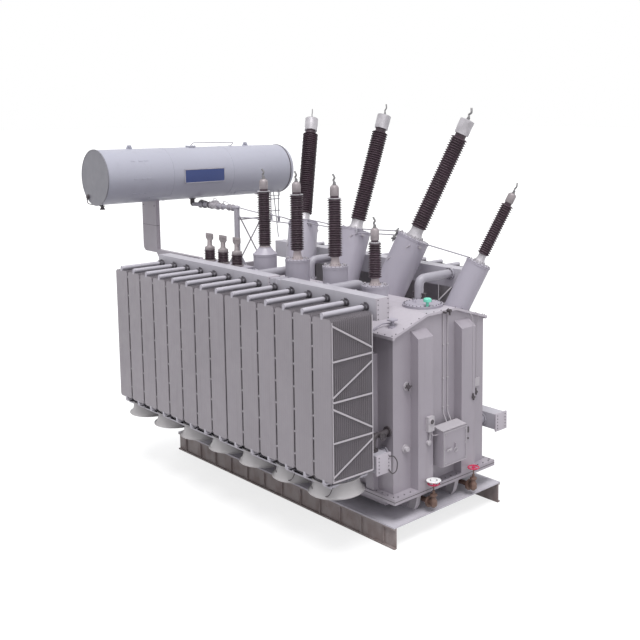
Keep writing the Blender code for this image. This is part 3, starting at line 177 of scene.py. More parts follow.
def piece(name, shape, material, slot, body=BODY, sharp=35, bevel=0.0, replaces=()):
    mesh = bpy.data.meshes.new(name)
    mesh.from_pydata(shape.points, [], shape.faces)
    bm = bmesh.new()
    bm.from_mesh(mesh)
    bmesh.ops.recalc_face_normals(bm, faces=bm.faces)
    limit = math.radians(sharp)
    if bevel:
        edges = [edge for edge in bm.edges if len(edge.link_faces) == 2 and edge.calc_face_angle() > limit]
        bmesh.ops.bevel(
            bm, geom=edges, offset=bevel, segments=2, profile=0.7, affect="EDGES", clamp_overlap=True,
        )
    bm.to_mesh(mesh)
    bm.free()
    mesh.shade_smooth()
    mesh.set_sharp_from_angle(angle=limit)
    mesh.materials.append(material)
    obj = bpy.data.objects.new(name, mesh)
    SCENE.collection.objects.link(obj)
    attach(obj, body)
    for node in replaces:
        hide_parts(node)


def turned(name, profile, place, sides, material, slot, **options):
    """A piece that is one turned profile."""
    shape = Shape()
    shape.lathe(profile, place, sides)
    piece(name, shape, material, slot, **options)


def at(x, y, z):
    return Matrix.Translation((x, y, z))


def facing(place, direction):
    """A placement at a point whose +z looks along a direction."""
    return Matrix.Translation(place) @ Vector(direction).to_track_quat("Z", "Y").to_matrix().to_4x4()


def ahead(x, y, z):
    """A placement whose +z looks along the scene's +x, out of the end wall."""
    return facing((x, y, z), (1, 0, 0))


def frame_at(place, lean_deg=0.0, fan_deg=0.0):
    """A placement whose +z leans toward +y by lean_deg and toward +x by fan_deg, as in the CAD."""
    return facing(place, Vector((math.tan(math.radians(fan_deg)), math.tan(math.radians(lean_deg)), 1.0)).normalized())


# Materials

def add_node(tree, kind, inputs=(), **settings):
    made = tree.nodes.new(kind)
    for key, value in settings.items():
        setattr(made, key, value)
    for key, value in dict(inputs).items():
        if isinstance(value, bpy.types.NodeSocket):
            tree.links.new(value, made.inputs[key])
        else:
            made.inputs[key].default_value = value
    return made


def seen_ray(tree):
    """1 for camera, glossy and transmission rays, and 0 for the light that falls on surfaces."""
    path = add_node(tree, "ShaderNodeLightPath")
    ray = path.outputs["Is Camera Ray"]
    for other in ("Is Glossy Ray", "Is Transmission Ray"):
        ray = add_node(tree, "ShaderNodeMath", {0: ray, 1: path.outputs[other]}, operation="MAXIMUM").outputs[0]
    return ray


class Surface:
    """A node material built around one Principled shader."""

    def __init__(self, name, roughness, metallic=0.0):
        self.material = bpy.data.materials.new(name)
        self.material.use_nodes = True
        self.tree = self.material.node_tree
        self.shader = self.tree.nodes["Principled BSDF"]
        self.set("Metallic", metallic)
        self.set("Roughness", roughness)
        self.coords = add_node(self.tree, "ShaderNodeTexCoord").outputs["Object"]

    def set(self, socket, value):
        """Gives the shader a fixed value or another node's output."""
        if isinstance(value, bpy.types.NodeSocket):
            self.tree.links.new(value, self.shader.inputs[socket])
        else:
            self.shader.inputs[socket].default_value = value

    def noise(self, scale, detail, stretch=(1, 1, 1)):
        mapping = add_node(self.tree, "ShaderNodeMapping", {"Vector": self.coords, "Scale": stretch})
        inputs = {"Vector": mapping.outputs[0], "Scale": scale, "Detail": detail}
        return add_node(self.tree, "ShaderNodeTexNoise", inputs).outputs["Fac"]

    def span(self, value, low, high, to_low=0.0, to_high=1.0):
        inputs = {"Value": value, "From Min": low, "From Max": high, "To Min": to_low, "To Max": to_high}
        return add_node(self.tree, "ShaderNodeMapRange", inputs).outputs[0]

    def mix(self, factor, first, second):
        return add_node(self.tree, "ShaderNodeMix", {0: factor, 6: first, 7: second}, data_type="RGBA").outputs[2]

    def cloud(self, colour, scale, detail, darker, lighter, low=0.3, high=0.7):
        """Soft patches between a darker and a lighter shade of one colour."""
        return self.mix(self.span(self.noise(scale, detail), low, high), shade(colour, darker), shade(colour, lighter))

    def stain(self, base, noise, low, high, amount, colour):
        return self.mix(self.span(noise, low, high, 0.0, amount), base, colour)

    def gloss(self, scale, detail, low, high):
        """Roughness that varies between two values."""
        self.set("Roughness", self.span(self.noise(scale, detail), 0.3, 0.7, low, high))

    def coat(self, weight, roughness):
        self.set("Coat Weight", weight)
        self.set("Coat Roughness", roughness)

    def bump(self, value, distance, strength, onto=None):
        inputs = {"Height": value, "Distance": distance, "Strength": strength}
        if onto is not None:
            inputs["Normal"] = onto
        return add_node(self.tree, "ShaderNodeBump", inputs).outputs[0]


def shade(colour, factor):
    return (colour[0] * factor, colour[1] * factor, colour[2] * factor, 1.0)


GRIME = (0.1, 0.08, 0.07)


def painted(name, colour, roughness=0.42, mottle=0.05, streak=0.16, coat=0.0, smooth=False):
    """Brushed and weathered machine paint: patches, rain streaks, specks and a little orange peel."""
    surface = Surface(name, roughness)
    base = surface.cloud(colour, 0.7, 4.0, 1 - mottle, 1 + mottle, 0.32, 0.68)
    rain = surface.noise(3.2, 5.0, (2.2, 2.2, 0.16))
    base = surface.stain(base, rain, 0.56, 0.78, streak, shade(GRIME, 1.0))
    base = surface.stain(base, surface.noise(38.0, 2.0), 0.66, 0.78, 0.04 if smooth else 0.15, shade(GRIME, 1.2))
    surface.set("Base Color", base)
    surface.gloss(5.0, 4.0, roughness - 0.07, roughness + 0.1)
    surface.coat(coat, 0.18)
    waves = surface.bump(surface.noise(1.6, 2.0), 0.01 if smooth else 0.02, 0.05 if smooth else 0.1)
    grain = surface.noise(20.0 if smooth else 90.0, 2.0)
    surface.set("Normal", surface.bump(grain, 0.0003 if smooth else 0.0006, 0.1 if smooth else 0.25, waves))
    return surface.material


def glazed(name, colour):
    """Dark glazed porcelain with faint firing marks."""
    surface = Surface(name, 0.42)
    base = surface.cloud(colour, 4.0, 5.0, 0.8, 1.25)
    surface.set("Base Color", surface.stain(base, surface.noise(14.0, 4.0), 0.52, 0.75, 0.12, (0.22, 0.18, 0.18, 1.0)))
    surface.gloss(9.0, 4.0, 0.42, 0.58)
    surface.coat(0.04, 0.25)
    surface.set("Normal", surface.bump(surface.noise(26.0, 3.0), 0.002, 0.25))
    return surface.material


def cast(name, colour, roughness, metallic):
    """Cast or rolled metal with a fine grain and stains."""
    surface = Surface(name, roughness, metallic)
    base = surface.cloud(colour, 6.0, 6.0, 0.78, 1.12)
    marks = surface.noise(2.4, 5.0, (1.0, 1.0, 0.4))
    surface.set("Base Color", surface.stain(base, marks, 0.55, 0.75, 0.35, shade(colour, 0.45)))
    surface.gloss(16.0, 4.0, roughness - 0.1, roughness + 0.15)
    surface.set("Normal", surface.bump(surface.noise(160.0, 3.0), 0.001, 0.5))
    return surface.material


def skid_paint(name, colour, bottom_browning=1.0):
    """Grey paint with brown patches that grow denser towards the bottom, and rubbed spots."""
    surface = Surface(name, 0.6)
    base = surface.cloud(colour, 1.3, 6.0, 0.86, 1.12)
    height = add_node(surface.tree, "ShaderNodeSeparateXYZ", {0: surface.coords}).outputs[2]
    # Brown patches weigh more towards the bottom of the object.
    low = surface.span(height, 0.0, 0.42, 0.55 * bottom_browning, 0.1 * bottom_browning)
    mud = surface.span(surface.noise(5.0, 7.0, (1.0, 1.0, 0.6)), 0.42, 0.62)
    amount = add_node(surface.tree, "ShaderNodeMath", {0: low, 1: mud}, operation="MULTIPLY").outputs[0]
    base = surface.mix(amount, base, (0.17, 0.122, 0.115, 1.0))
    base = surface.stain(base, surface.noise(18.0, 5.0), 0.64, 0.74, 0.35, (0.12, 0.075, 0.06, 1.0))
    surface.set("Base Color", base)
    surface.set("Roughness", surface.span(mud, 0.0, 1.0, 0.5, 0.78))
    surface.set("Normal", surface.bump(surface.noise(90.0, 4.0), 0.0015, 0.5))
    return surface.material


TANK = painted("tank_grey", (0.305, 0.277, 0.312), 0.4)
COVER = painted("cover_grey", (0.345, 0.322, 0.375), 0.42, streak=0.1)
LID = painted("lid_grey", (0.42, 0.388, 0.428), 0.45, streak=0.08)
RADIATOR = painted("radiator_grey", (0.262, 0.24, 0.262), 0.46, mottle=0.045)
DUCT = painted("duct_grey", (0.405, 0.388, 0.43), 0.42, streak=0.08)
PALE = painted("pale_fitting", (0.4, 0.375, 0.4), 0.42, streak=0.08)
FAN = painted("fan_grey", (0.34, 0.325, 0.33), 0.4, streak=0.06)
DRUM = painted("drum_grey", (0.36, 0.36, 0.42), 0.42, mottle=0.02, streak=0.06, coat=0.03, smooth=True)
SKID = skid_paint("skid_grey", (0.25, 0.212, 0.208))
# Darker copy of the drum paint for the drum's flat end: painted shade.
SHADED_DRUM_END = painted("drum_end_grey_painted_shade", (0.185, 0.182, 0.205), 0.42, mottle=0.03, streak=0.06, smooth=True)
# Lighter copy of the skid paint for the deck: painted light on the lit top of the skid.
LIT_DECK = skid_paint("deck_painted_light_grey", (0.46, 0.44, 0.485), bottom_browning=0.3)
PORCELAIN = glazed("brown_porcelain", (0.04, 0.02, 0.031))
CAP = cast("cap_alloy", (0.45, 0.43, 0.455), 0.4, 0.35)
BEIGE = cast("cap_beige", (0.31, 0.275, 0.285), 0.45, 0.25)
STEEL = cast("terminal_steel", (0.2, 0.195, 0.2), 0.45, 0.4)
SEAL = painted("pale_collar", (0.42, 0.36, 0.365), 0.5)
BRASS = cast("valve_bronze", (0.14, 0.085, 0.068), 0.5, 0.3)
DARK = painted("dark_fitting", (0.06, 0.05, 0.056), 0.5)
VALVE = cast("radiator_valve", (0.115, 0.105, 0.12), 0.5, 0.3)
RED = painted("wheel_red", (0.5, 0.025, 0.085), 0.35, streak=0.05)
BOLT = cast("bolt_steel", (0.17, 0.16, 0.175), 0.45, 0.5)
PIPE = painted("pipe_grey", (0.33, 0.315, 0.355), 0.4)
BLUE = painted("plate_blue", (0.035, 0.055, 0.17), 0.4, streak=0.03)
TEAL = painted("teal_cap", (0.16, 0.6, 0.45), 0.4, streak=0.03)
WHITE = painted("white_disc", (0.74, 0.74, 0.74), 0.4, streak=0.04)

SLOT_MATERIALS = {
    "skid_paint": SKID, "tank_paint": TANK, "cover_paint": COVER, "radiator_paint": RADIATOR,
    "fan_paint": FAN, "drum_paint": DRUM, "porcelain": PORCELAIN, "valve_brass": BRASS, "red_paint": RED,
}
# The deck takes the lighter skid paint, which is painted light on its top.
NODE_MATERIALS = {"tank_cover": LID, "skid_deck": LIT_DECK}
for part in frame["record"]["subparts"]:
    mesh = frame["nodes"][part["node"]].data
    mesh.materials.clear()
    mesh.materials.append(NODE_MATERIALS.get(part["node"], SLOT_MATERIALS[part["material_slot"]]))


# Sizes repeated from the CAD model

COVER_EDGE_TOP = 4.1
COVER_EDGE_Y = 1.38
COVER_FLAT_Y = 0.42
COVER_RISE = 0.31
TANK_END_X = 3.59
TANK_SIDE_Y = 1.32
PANEL_LOW = 1.68
PANEL_HIGH = 4.71
PANEL_WIDTH = 0.52
BANK_OUTER_Y = 2.98
RADIATOR_DEPTH = 0.99
PITCH = 0.559
BANK_FRONT_X = 3.75
HEADER_INNER_Y = 1.58
HEADER_OUTER_Y = 1.89
HEADER_REAR_X = -3.957
HEADER_BREAK = (0.425, 0.865)
HEADER_FAR_END_X = 2.78
UPPER_HEADER = (4.52, 4.94)
LOWER_HEADER = (1.57, 1.91)
UPPER_PIPE_Z = 4.82
PIPE_R = 0.098
PIPE_FLANGE_R = 0.135
FAN_TOP = 1.58
FAN_LOW = 1.3
FAN_Y = 2.44
FAR_SHIFT = 0.134
COVER_SLOPE = COVER_RISE / (COVER_EDGE_Y - COVER_FLAT_Y)


def cover_top(y):
    return COVER_EDGE_TOP + min(COVER_RISE, COVER_SLOPE * (COVER_EDGE_Y - abs(y)))


# Radiators

PANELS = 22
SKIN = 0.011
LIP = 0.016
CORNER_CUT = 0.045
TIE_ROWS = 7
VALVE_DISCS = ((0.072, 0.012, 0.026), (0.068, 0.044, 0.056), (0.068, 0.082, 0.094), (0.072, 0.112, 0.126))


def centres(first, count, shift):
    return [BANK_FRONT_X - PANEL_WIDTH / 2 + shift - PITCH * i for i in range(first, first + count)]


def panel_outline(x, inset):
    half = PANEL_WIDTH / 2 - inset
    corner = CORNER_CUT - inset * 0.4
    low = PANEL_LOW + inset
    high = PANEL_HIGH - inset
    return [
        (x + half, low + corner), (x + half, high - corner), (x + half - corner, high),
        (x - half + corner, high), (x - half, high - corner), (x - half, low + corner),
        (x - half + corner, low), (x + half - corner, low),
    ]


def plain_panel(shape, x, y):
    shape.prism(panel_outline(x, 0.0), 1, y - 0.0012, y + 0.0012)
    shape.prism(panel_outline(x, LIP), 1, y - SKIN / 2, y + SKIN / 2)


def face_panel(shape, x, y, side):
    """The outermost panel: a seam lip all round and a faintly pressed face with flutes."""
    flutes = 7
    half = PANEL_WIDTH / 2 - LIP
    low = PANEL_LOW + LIP
    high = PANEL_HIGH - LIP
    plain_panel(shape, x, y)
    pitch = (half * 2 - 0.03) / flutes
    for i in range(flutes):
        mid = x - half + 0.015 + pitch * (i + 0.5)
        run = pitch / 2 - 0.004
        drop = 0.04 + max(0.0, abs(mid - x) + run - (half - CORNER_CUT + 0.01))
        section = [
            (mid - run, y + side * SKIN / 2 * 0.9), (mid - run * 0.55, y + side * (SKIN / 2 + 0.0012)),
            (mid + run * 0.55, y + side * (SKIN / 2 + 0.0012)), (mid + run, y + side * SKIN / 2 * 0.9),
        ]
        shape.prism(section, 2, low + drop, high - drop)


def radiator_pieces(name, side, columns, spans):
    """A row of radiators with collectors, valves and headers; spans holds those of the upper and lower header."""
    step = (RADIATOR_DEPTH - SKIN - 0.005) / (PANELS - 1)
    outer = BANK_OUTER_Y - SKIN / 2 - 0.0025
    rows = [side * (outer - i * step) for i in range(PANELS)]
    panels = Shape()
    for x in columns:
        face_panel(panels, x, rows[0], side)
        for y in rows[1:]:
            plain_panel(panels, x, y)
    piece(name + "_panels", panels, RADIATOR, "radiator_paint", sharp=30, replaces=[name])

    ties = Shape()
    for x in columns[1:]:
        for i in range(TIE_ROWS):
            z = PANEL_LOW + (PANEL_HIGH - PANEL_LOW) * (i + 0.7) / TIE_ROWS
            span = (x + PANEL_WIDTH / 2 - 0.004, x + PITCH - PANEL_WIDTH / 2 + 0.004)
            ties.box(span, (side * (outer - 0.05), side * outer), (z - 0.013, z + 0.013))
    piece(name + "_ties", ties, PALE, "radiator_paint")

    tubes = Shape()
    valves = Shape()
    for x in columns:
        for z, up in ((PANEL_HIGH + 0.048, 1), (PANEL_LOW - 0.048, -1)):
            inner = side * (HEADER_OUTER_Y + 0.1)
            tubes.rod((x, inner, z), (x, side * (BANK_OUTER_Y - 0.012), z), 0.05, 20)
            for y in rows:
                tubes.box((x - 0.03, x + 0.03), (y - 0.008, y + 0.008), (z - up * 0.075, z))
            root = (x, side * (HEADER_OUTER_Y - 0.01), z)
            neck = facing(root, (0, side, 0))
            tubes.rod(root, (x, inner, z), 0.048, 20)
            for radius, low, high in VALVE_DISCS:
                valves.disc(radius, low, high, neck, 24)
            valves.bolt_circle(neck @ at(0, 0, VALVE_DISCS[-1][-1]), 0.06, 6, 0.008, 0.01)
            if up > 0:
                stem_y = side * (HEADER_OUTER_Y + 0.057)
                valves.rod((x, stem_y, z + 0.04), (x, stem_y, z + 0.095), 0.011, 8)
                valves.box((x - 0.012, x + 0.05), (stem_y - 0.01, stem_y + 0.01), (z + 0.085, z + 0.095))
    piece(name + "_collectors", tubes, DUCT, "radiator_paint", sharp=40)
    piece(name + "_valves", valves, VALVE, "radiator_paint", sharp=30)

    ducts = Shape()
    plates = Shape()
    bolts = Shape()
    near, far = side * HEADER_INNER_Y, side * HEADER_OUTER_Y
    for span, (low, high), grow in zip(spans, (UPPER_HEADER, LOWER_HEADER), (0.0, 0.03)):
        ducts.box(span, (near, far), (low, high))
        for x, way in ((span[1], 1), (span[0], -1)):
            plates.box(
                (x + way * 0.02, x - way * 0.012), (near - side * grow, far + side * grow),
                (low - grow, high + min(grow, 0.02)),
            )
            face = facing((x + way * 0.02, 0, 0), (way, 0, 0))
            for j in range(5):
                for y in (near + side * 0.03, far - side * 0.03):
                    bolts.bolt(at(0, y, low + 0.03 + (high - low - 0.06) * j / 4) @ face, 0.01, 0.012)
    piece(name + "_headers", ducts, DUCT, "radiator_paint", bevel=0.006)
    piece(name + "_header_plates", plates, LID, "radiator_paint", bevel=0.004)
    piece(name + "_header_bolts", bolts, BOLT, "radiator_paint")


for label, side, left_out, shift, upper_end in (
    ("near", -1, 0, 0.0, BANK_FRONT_X), ("far", 1, 4, FAR_SHIFT, HEADER_FAR_END_X),
):
    radiator_pieces(
        "radiators_front_" + label, side, centres(left_out, 6 - left_out, shift),
        ((HEADER_BREAK[1], upper_end), (HEADER_BREAK[1], BANK_FRONT_X)),
    )
    radiator_pieces("radiators_rear_" + label, side, centres(6, 8, shift), [(HEADER_REAR_X, HEADER_BREAK[0])] * 2)

for label, side in (("near", -1), ("far", 1)):
    couplings = Shape()
    for low, high in (UPPER_HEADER, LOWER_HEADER):
        for start, end, inset in (
            (HEADER_BREAK[0] - 0.01, HEADER_BREAK[1] + 0.01, 0.03), (0.582, 0.618, 0.005), (0.672, 0.708, 0.005),
        ):
            couplings.box(
                (start, end), (side * (HEADER_INNER_Y + inset), side * (HEADER_OUTER_Y - inset)),
                (low + inset, high - inset),
            )
    piece("header_couplings_" + label, couplings, DUCT, "radiator_paint", bevel=0.004)


def pipe_elbow(shape, bolts, x, side, reach):
    """Pipe from an upper header over the cover, with flanges at both ends."""
    foot = cover_top(reach)
    shape.pipe([
        (x, side * (HEADER_INNER_Y + 0.01), UPPER_PIPE_Z), (x, side * reach, UPPER_PIPE_Z),
        (x, side * reach, foot - 0.03),
    ], 0.17, PIPE_R, 28, 8)
    collar = facing((x, side * (HEADER_INNER_Y - 0.002), UPPER_PIPE_Z), (0, -side, 0))
    shape.lathe([(0, 0.055), (PIPE_FLANGE_R, 0.055), (PIPE_FLANGE_R, 0.03), (PIPE_FLANGE_R, 0), (0, 0)], collar, 32)
    bolts.bolt_circle(collar @ at(0, 0, 0.055), 0.117, 10, 0.01, 0.014)
    base = at(x, side * reach, foot + 0.055)
    shape.lathe([
        (0, 0), (PIPE_FLANGE_R, 0), (PIPE_FLANGE_R, -0.03), (0.11, -0.032), (0.11, -0.09), (0, -0.09),
    ], base, 32)
    bolts.bolt_circle(base, 0.12, 10, 0.01, 0.014)


pipes = Shape()
pipe_bolts = Shape()
for x, side, reach in ((-0.5, -1, 0.62), (1.93, -1, 0.62), (-1.25, 1, 0.6), (2.4, 1, 0.6)):
    pipe_elbow(pipes, pipe_bolts, x, side, reach)
for x in (-3.36, 3.36):
    for side in (-1, 1):
        z = sum(LOWER_HEADER) / 2
        pipes.rod((x, side * (HEADER_INNER_Y + 0.01), z), (x, side * (TANK_SIDE_Y - 0.01), z), PIPE_R, 28)
        for y in (HEADER_INNER_Y - 0.03, TANK_SIDE_Y + 0.03):
            pipes.disc(PIPE_FLANGE_R, 0, 0.028, facing((x, side * (y - 0.014), z), (0, side, 0)), 32)
piece("header_pipes", pipes, PIPE, "radiator_paint", sharp=40)
piece("header_pipe_bolts", pipe_bolts, BOLT, "radiator_paint")


# Fan cowls

def cowl(shape, x, y):
    steps = 10
    throat, mouth, wall = 0.44, 0.533, 0.006
    place = at(x, y, 0)
    bend = FAN_TOP - 0.03
    outer = [(throat, FAN_TOP - 0.002)]
    for i in range(steps + 1):
        angle = math.radians(90 * i / steps)
        outer.append((throat + (mouth - throat) * (1 - math.cos(angle)), bend - (bend - FAN_LOW) * math.sin(angle)))
    lip = [(mouth + 0.006, FAN_LOW + 0.004), (mouth + 0.006, FAN_LOW), (mouth, FAN_LOW)]
    inner = [(radius - wall, height) for radius, height in reversed(outer)]
    inner[0] = (mouth - wall, FAN_LOW)
    shape.lathe(outer[:-1] + lip + inner + [outer[0]], place, 64)
    ring = [(throat + 0.03, FAN_TOP), (throat + 0.03, FAN_TOP - 0.02), (throat - 0.01, FAN_TOP - 0.02),
            (throat - 0.01, FAN_TOP), (throat + 0.03, FAN_TOP)]
    shape.lathe(ring, place, 64)


for label, side, shift, columns in (
    ("near", -1, 0.0, centres(0, 14, 0.0)), ("far", 1, FAR_SHIFT, centres(4, 10, FAR_SHIFT)),
):
    cowls = Shape()
    brackets = Shape()
    y = side * FAN_Y
    for first, second in zip(columns[::2], columns[1::2]):
        x = (first + second) / 2
        cowl(cowls, x, y)
        for dx in (-0.36, 0.36):
            brackets.box((x + dx - 0.02, x + dx + 0.02), (y - 0.45, y + 0.45), (FAN_TOP - 0.035, FAN_TOP - 0.001))
        for angle in range(45, 360, 90):
            turn = at(x, y, 0) @ Matrix.Rotation(math.radians(angle), 4, "Z")
            brackets.box((0.44, 0.5), (-0.03, 0.03), (FAN_TOP - 0.06, FAN_TOP - 0.005), turn)
    run = (columns[-1] - 0.1, columns[0] + 0.1)
    for middle in (y - 0.4, y + 0.4):
        brackets.box(run, (middle - 0.02, middle + 0.02), (FAN_TOP - 0.04, FAN_TOP))
        brackets.box(run, (middle - 0.02, middle - 0.014), (FAN_TOP - 0.07, FAN_TOP))
    piece("fan_cowls_" + label, cowls, FAN, "fan_paint", sharp=50, replaces=["fans_" + label])
    piece("fan_rails_" + label, brackets, DUCT, "fan_paint", bevel=0.002)


# Conservator

DRUM_X = -5.2
DRUM_Z = 6.778
DRUM_R = 0.667
DRUM_NEAR = -2.8
DRUM_FAR = 2.58


def along_y(y):
    return facing((DRUM_X, y, DRUM_Z), (0, 1, 0))


turned("drum_shell", [
    (DRUM_R, DRUM_FAR - DRUM_NEAR), (DRUM_R, 0), (DRUM_R - 0.012, 0),
    (DRUM_R - 0.012, DRUM_FAR - DRUM_NEAR), (DRUM_R, DRUM_FAR - DRUM_NEAR),
], along_y(DRUM_NEAR), 128, DRUM, "drum_paint", replaces=["conservator_shell"])

seams = Shape()
for y in (-1.05, 0.72):
    seams.torus(DRUM_R, 0.006, along_y(y), 128)
piece("drum_seams", seams, DRUM, "drum_paint")

# The flat end takes the darker drum paint, which is painted shade on that end.
turned("drum_flat_end", [
    (0, 0), (DRUM_R + 0.012, 0.0), (DRUM_R + 0.015, -0.003), (DRUM_R + 0.015, -0.026),
    (DRUM_R + 0.011, -0.03), (DRUM_R - 0.008, -0.03), (DRUM_R - 0.012, -0.024), (0, -0.024),
], along_y(DRUM_NEAR), 128, SHADED_DRUM_END, "drum_paint", replaces=["conservator_flat_end"])

DISH_STEPS = 14
bowl = []
for i in range(DISH_STEPS, -1, -1):
    angle = math.radians(90 * i / DISH_STEPS)
    bowl.append((DRUM_R - 0.262 * (1 - math.cos(angle)), 0.2 * math.sin(angle) ** 0.92))
turned("drum_dished_end", [
    (0, 0.25), (0.4, 0.25), (0.405, 0.245), (0.405, 0.212), (0.385, 0.21), *bowl, (DRUM_R - 0.02, 0.0), (0, 0),
], along_y(DRUM_FAR), 128, DRUM, "drum_paint", replaces=["conservator_dished_end"])
# Flange ring at the far end in the dark paint: painted shade on its shadowed side face.
turned("drum_far_rim_painted_shade", [
    (DRUM_R - 0.01, 0.004), (DRUM_R + 0.007, 0.004), (DRUM_R + 0.009, 0.002), (DRUM_R + 0.009, -0.022),
    (DRUM_R + 0.007, -0.024), (DRUM_R - 0.01, -0.024), (DRUM_R - 0.01, 0.004),
], along_y(DRUM_FAR), 128, DARK, "drum_paint", sharp=40)
dish_bolts = Shape()
dish_bolts.bolt_circle(along_y(DRUM_FAR + 0.232), 0.372, 28, 0.013, 0.017)
piece("drum_end_bolts", dish_bolts, BOLT, "drum_paint")


# Turrets and bushings

def shed_stack(low, high, core, shed, count):
    """Porcelain sheds from the top down: sloping tops, thin rims, hollowed undersides."""
    pitch = (high - low) / count
    reach = shed - core
    points = []
    for i in range(count):
        top = high - i * pitch
        full = reach if i % 2 == 0 else reach * 0.86
        points.extend([
            (core, top), (core + full * 0.35, top - pitch * 0.16), (core + full * 0.95, top - pitch * 0.44),
            (core + full, top - pitch * 0.5), (core + full * 0.97, top - pitch * 0.6),
            (core + full * 0.55, top - pitch * 0.66), (core, top - pitch * 0.82),
        ])
    return points


def terminal(shape, place, base, height, sway, radius):
    """A stud with a bent connection bar, curved like a hook."""
    stud = radius * 1.5
    shape.lathe([
        (0, base + 0.05), (stud, base + 0.05), (stud, base + 0.01), (radius * 2.2, base), (0, base - 0.02),
    ], place, 20)
    bends = ((0, 0.22), (0.9, 0.42), (-0.4, 0.62), (0.3, 0.82), (1.1, 1.0))
    route = [(0, 0, base + 0.03), *((sway * across, 0, base + height * up) for across, up in bends)]
    shape.tube([place @ point for point in rounded(route, height * 0.12, 5)], radius, 10)


def bushing_set(
    name, place, sway_dir, porcelain, core, shed, sheds, neck_radius, cap, cap_radius, dome, tip, sway, bar,
    collar, collar_paint, cap_paint, ring=(),
):
    low, high = porcelain
    bottom, top = cap
    profile = [(0, high), *shed_stack(low, high, core, shed, sheds), (core, low), (0, low)]
    turned(name + "_porcelain", profile, place, 48, PORCELAIN, "porcelain", sharp=50, replaces=[name])
    angles = [math.radians(degrees) for degrees in (80, 60, 40, 20)]
    turned(name + "_cap", [
        (0, top), *((cap_radius * math.cos(angle), top - dome + dome * math.sin(angle)) for angle in angles),
        (cap_radius, top - dome), (cap_radius, bottom), (cap_radius * 0.97, bottom - 0.004), (0, bottom - 0.004),
    ], place, 48, cap_paint, "porcelain", sharp=40)
    hook = Shape()
    terminal(hook, place @ Matrix.Rotation(sway_dir, 4, "Z"), top, tip - top, sway, bar)
    piece(name + "_terminal", hook, STEEL, "porcelain", sharp=40)
    if ring:
        ring_z, ring_r = ring
        turned(name + "_ring", [
            (0, ring_z + 0.009), (ring_r, ring_z + 0.009), (ring_r + 0.003, ring_z), (ring_r, ring_z - 0.009),
            (0, ring_z - 0.009),
        ], place, 40, CAP, "porcelain")
    neck = Shape()
    neck.disc(neck_radius, high - 0.01, bottom, place, 40)
    piece(name + "_neck", neck, PORCELAIN, "porcelain")
    turned(name + "_collar", collar, place, 48, collar_paint, "cover_paint", sharp=30)
    foot, foot_top = collar[-3]
    studs = Shape()
    studs.bolt_circle(place @ at(0, 0, foot_top), foot - 0.018, 12, 0.01, 0.014)
    piece(name + "_foot_bolts", studs, BOLT, "cover_paint")


def turret_piece(name, place, radius, length, cone=()):
    """Bolted flange on a rolled cylinder that goes down into the cover."""
    edge = radius + 0.008
    top = [(0, 0), (edge - 0.003, 0.0), (edge, -0.004)]
    if cone:
        cone_top, cone_radius = cone
        top = [
            (0, cone_top), (cone_radius, cone_top), (cone_radius + 0.004, cone_top - 0.004),
            (cone_radius + 0.004, cone_top - 0.02), (radius * 0.96, 0.0), *top[1:],
        ]
    turned(name + "_drum", [
        *top, (edge, -0.018), (radius + 0.001, -0.02), (radius + 0.001, -0.026), (edge, -0.028), (edge, -0.05),
        (radius, -0.053), (radius, -length), (0, -length),
    ], place, 80, COVER, "cover_paint", sharp=30, replaces=[name])
    if not cone:
        bolts = Shape()
        bolts.bolt_circle(place, radius - 0.022, 24 if radius > 0.3 else 18, 0.011, 0.012)
        piece(name + "_bolts", bolts, BOLT, "cover_paint")


hv_place = {}
for letter, x, fan, sway, bar in (
    ("a", -2.27, -16.3, 0.004, 0.012), ("b", -0.305, 0.0, 0.022, 0.016), ("c", 1.645, 16.3, 0.045, 0.024),
):
    place = hv_place[letter] = frame_at((x, 1.2, 5.58), 19.6, fan)
    turret_piece("hv_turret_" + letter, place, 0.365, 1.6)
    bushing_set(
        "hv_bushing_" + letter, place, 0.6, porcelain=(0.244, 2.43), core=0.152, shed=0.196, sheds=40,
        neck_radius=0.125, cap=(2.516, 2.871), cap_radius=0.165, dome=0.025, tip=3.13, sway=sway, bar=bar,
        collar=[(0, 0.25), (0.14, 0.25), (0.142, 0.13), (0.172, 0.045), (0.185, 0.04), (0.185, 0), (0, 0)],
        collar_paint=CAP, cap_paint=CAP,
    )

NEUTRAL_PLACE = frame_at((3.65, 1.1, 5.26), 20.0, 18.0)
turret_piece("hv_neutral_turret", NEUTRAL_PLACE, 0.26, 1.2)
bushing_set(
    "hv_neutral_bushing", NEUTRAL_PLACE, 0.4, porcelain=(0.19, 1.33), core=0.1, shed=0.137, sheds=24,
    neck_radius=0.075, cap=(1.384, 1.6), cap_radius=0.088, dome=0.06, tip=1.815, sway=0.03, bar=0.018,
    collar=[(0, 0.2), (0.08, 0.2), (0.085, 0.1), (0.11, 0.035), (0.13, 0.03), (0.13, 0), (0, 0)],
    collar_paint=CAP, cap_paint=BEIGE,
)

MV_Y = -0.8
MV_TOP = 5.15
MV_NEUTRAL_X = 2.54
MV_NEUTRAL_TOP = 4.9
MV_TURRET_R = 0.265
for letter, x, cone in (("a", -1.16, (0.15, 0.14)), ("b", 0.03, ()), ("c", 1.31, ())):
    place = frame_at((x, MV_Y, MV_TOP))
    lift = cone[0] if cone else 0.0
    turret_piece("mv_turret_" + letter, place, MV_TURRET_R, 1.1, cone)
    bushing_set(
        "mv_bushing_" + letter, place, 0.2, porcelain=(0.195, 1.4), core=0.114, shed=0.155, sheds=24,
        neck_radius=0.092, ring=(1.418, 0.146), cap=(1.478, 1.71), cap_radius=0.097, dome=0.085, tip=1.92,
        sway=0.036, bar=0.022,
        collar=[
            (0, 0.2), (0.082, 0.2), (0.085, 0.12), (0.105, lift + 0.03), (0.127, lift + 0.026), (0.127, lift),
            (0, lift),
        ],
        collar_paint=SEAL, cap_paint=BEIGE,
    )

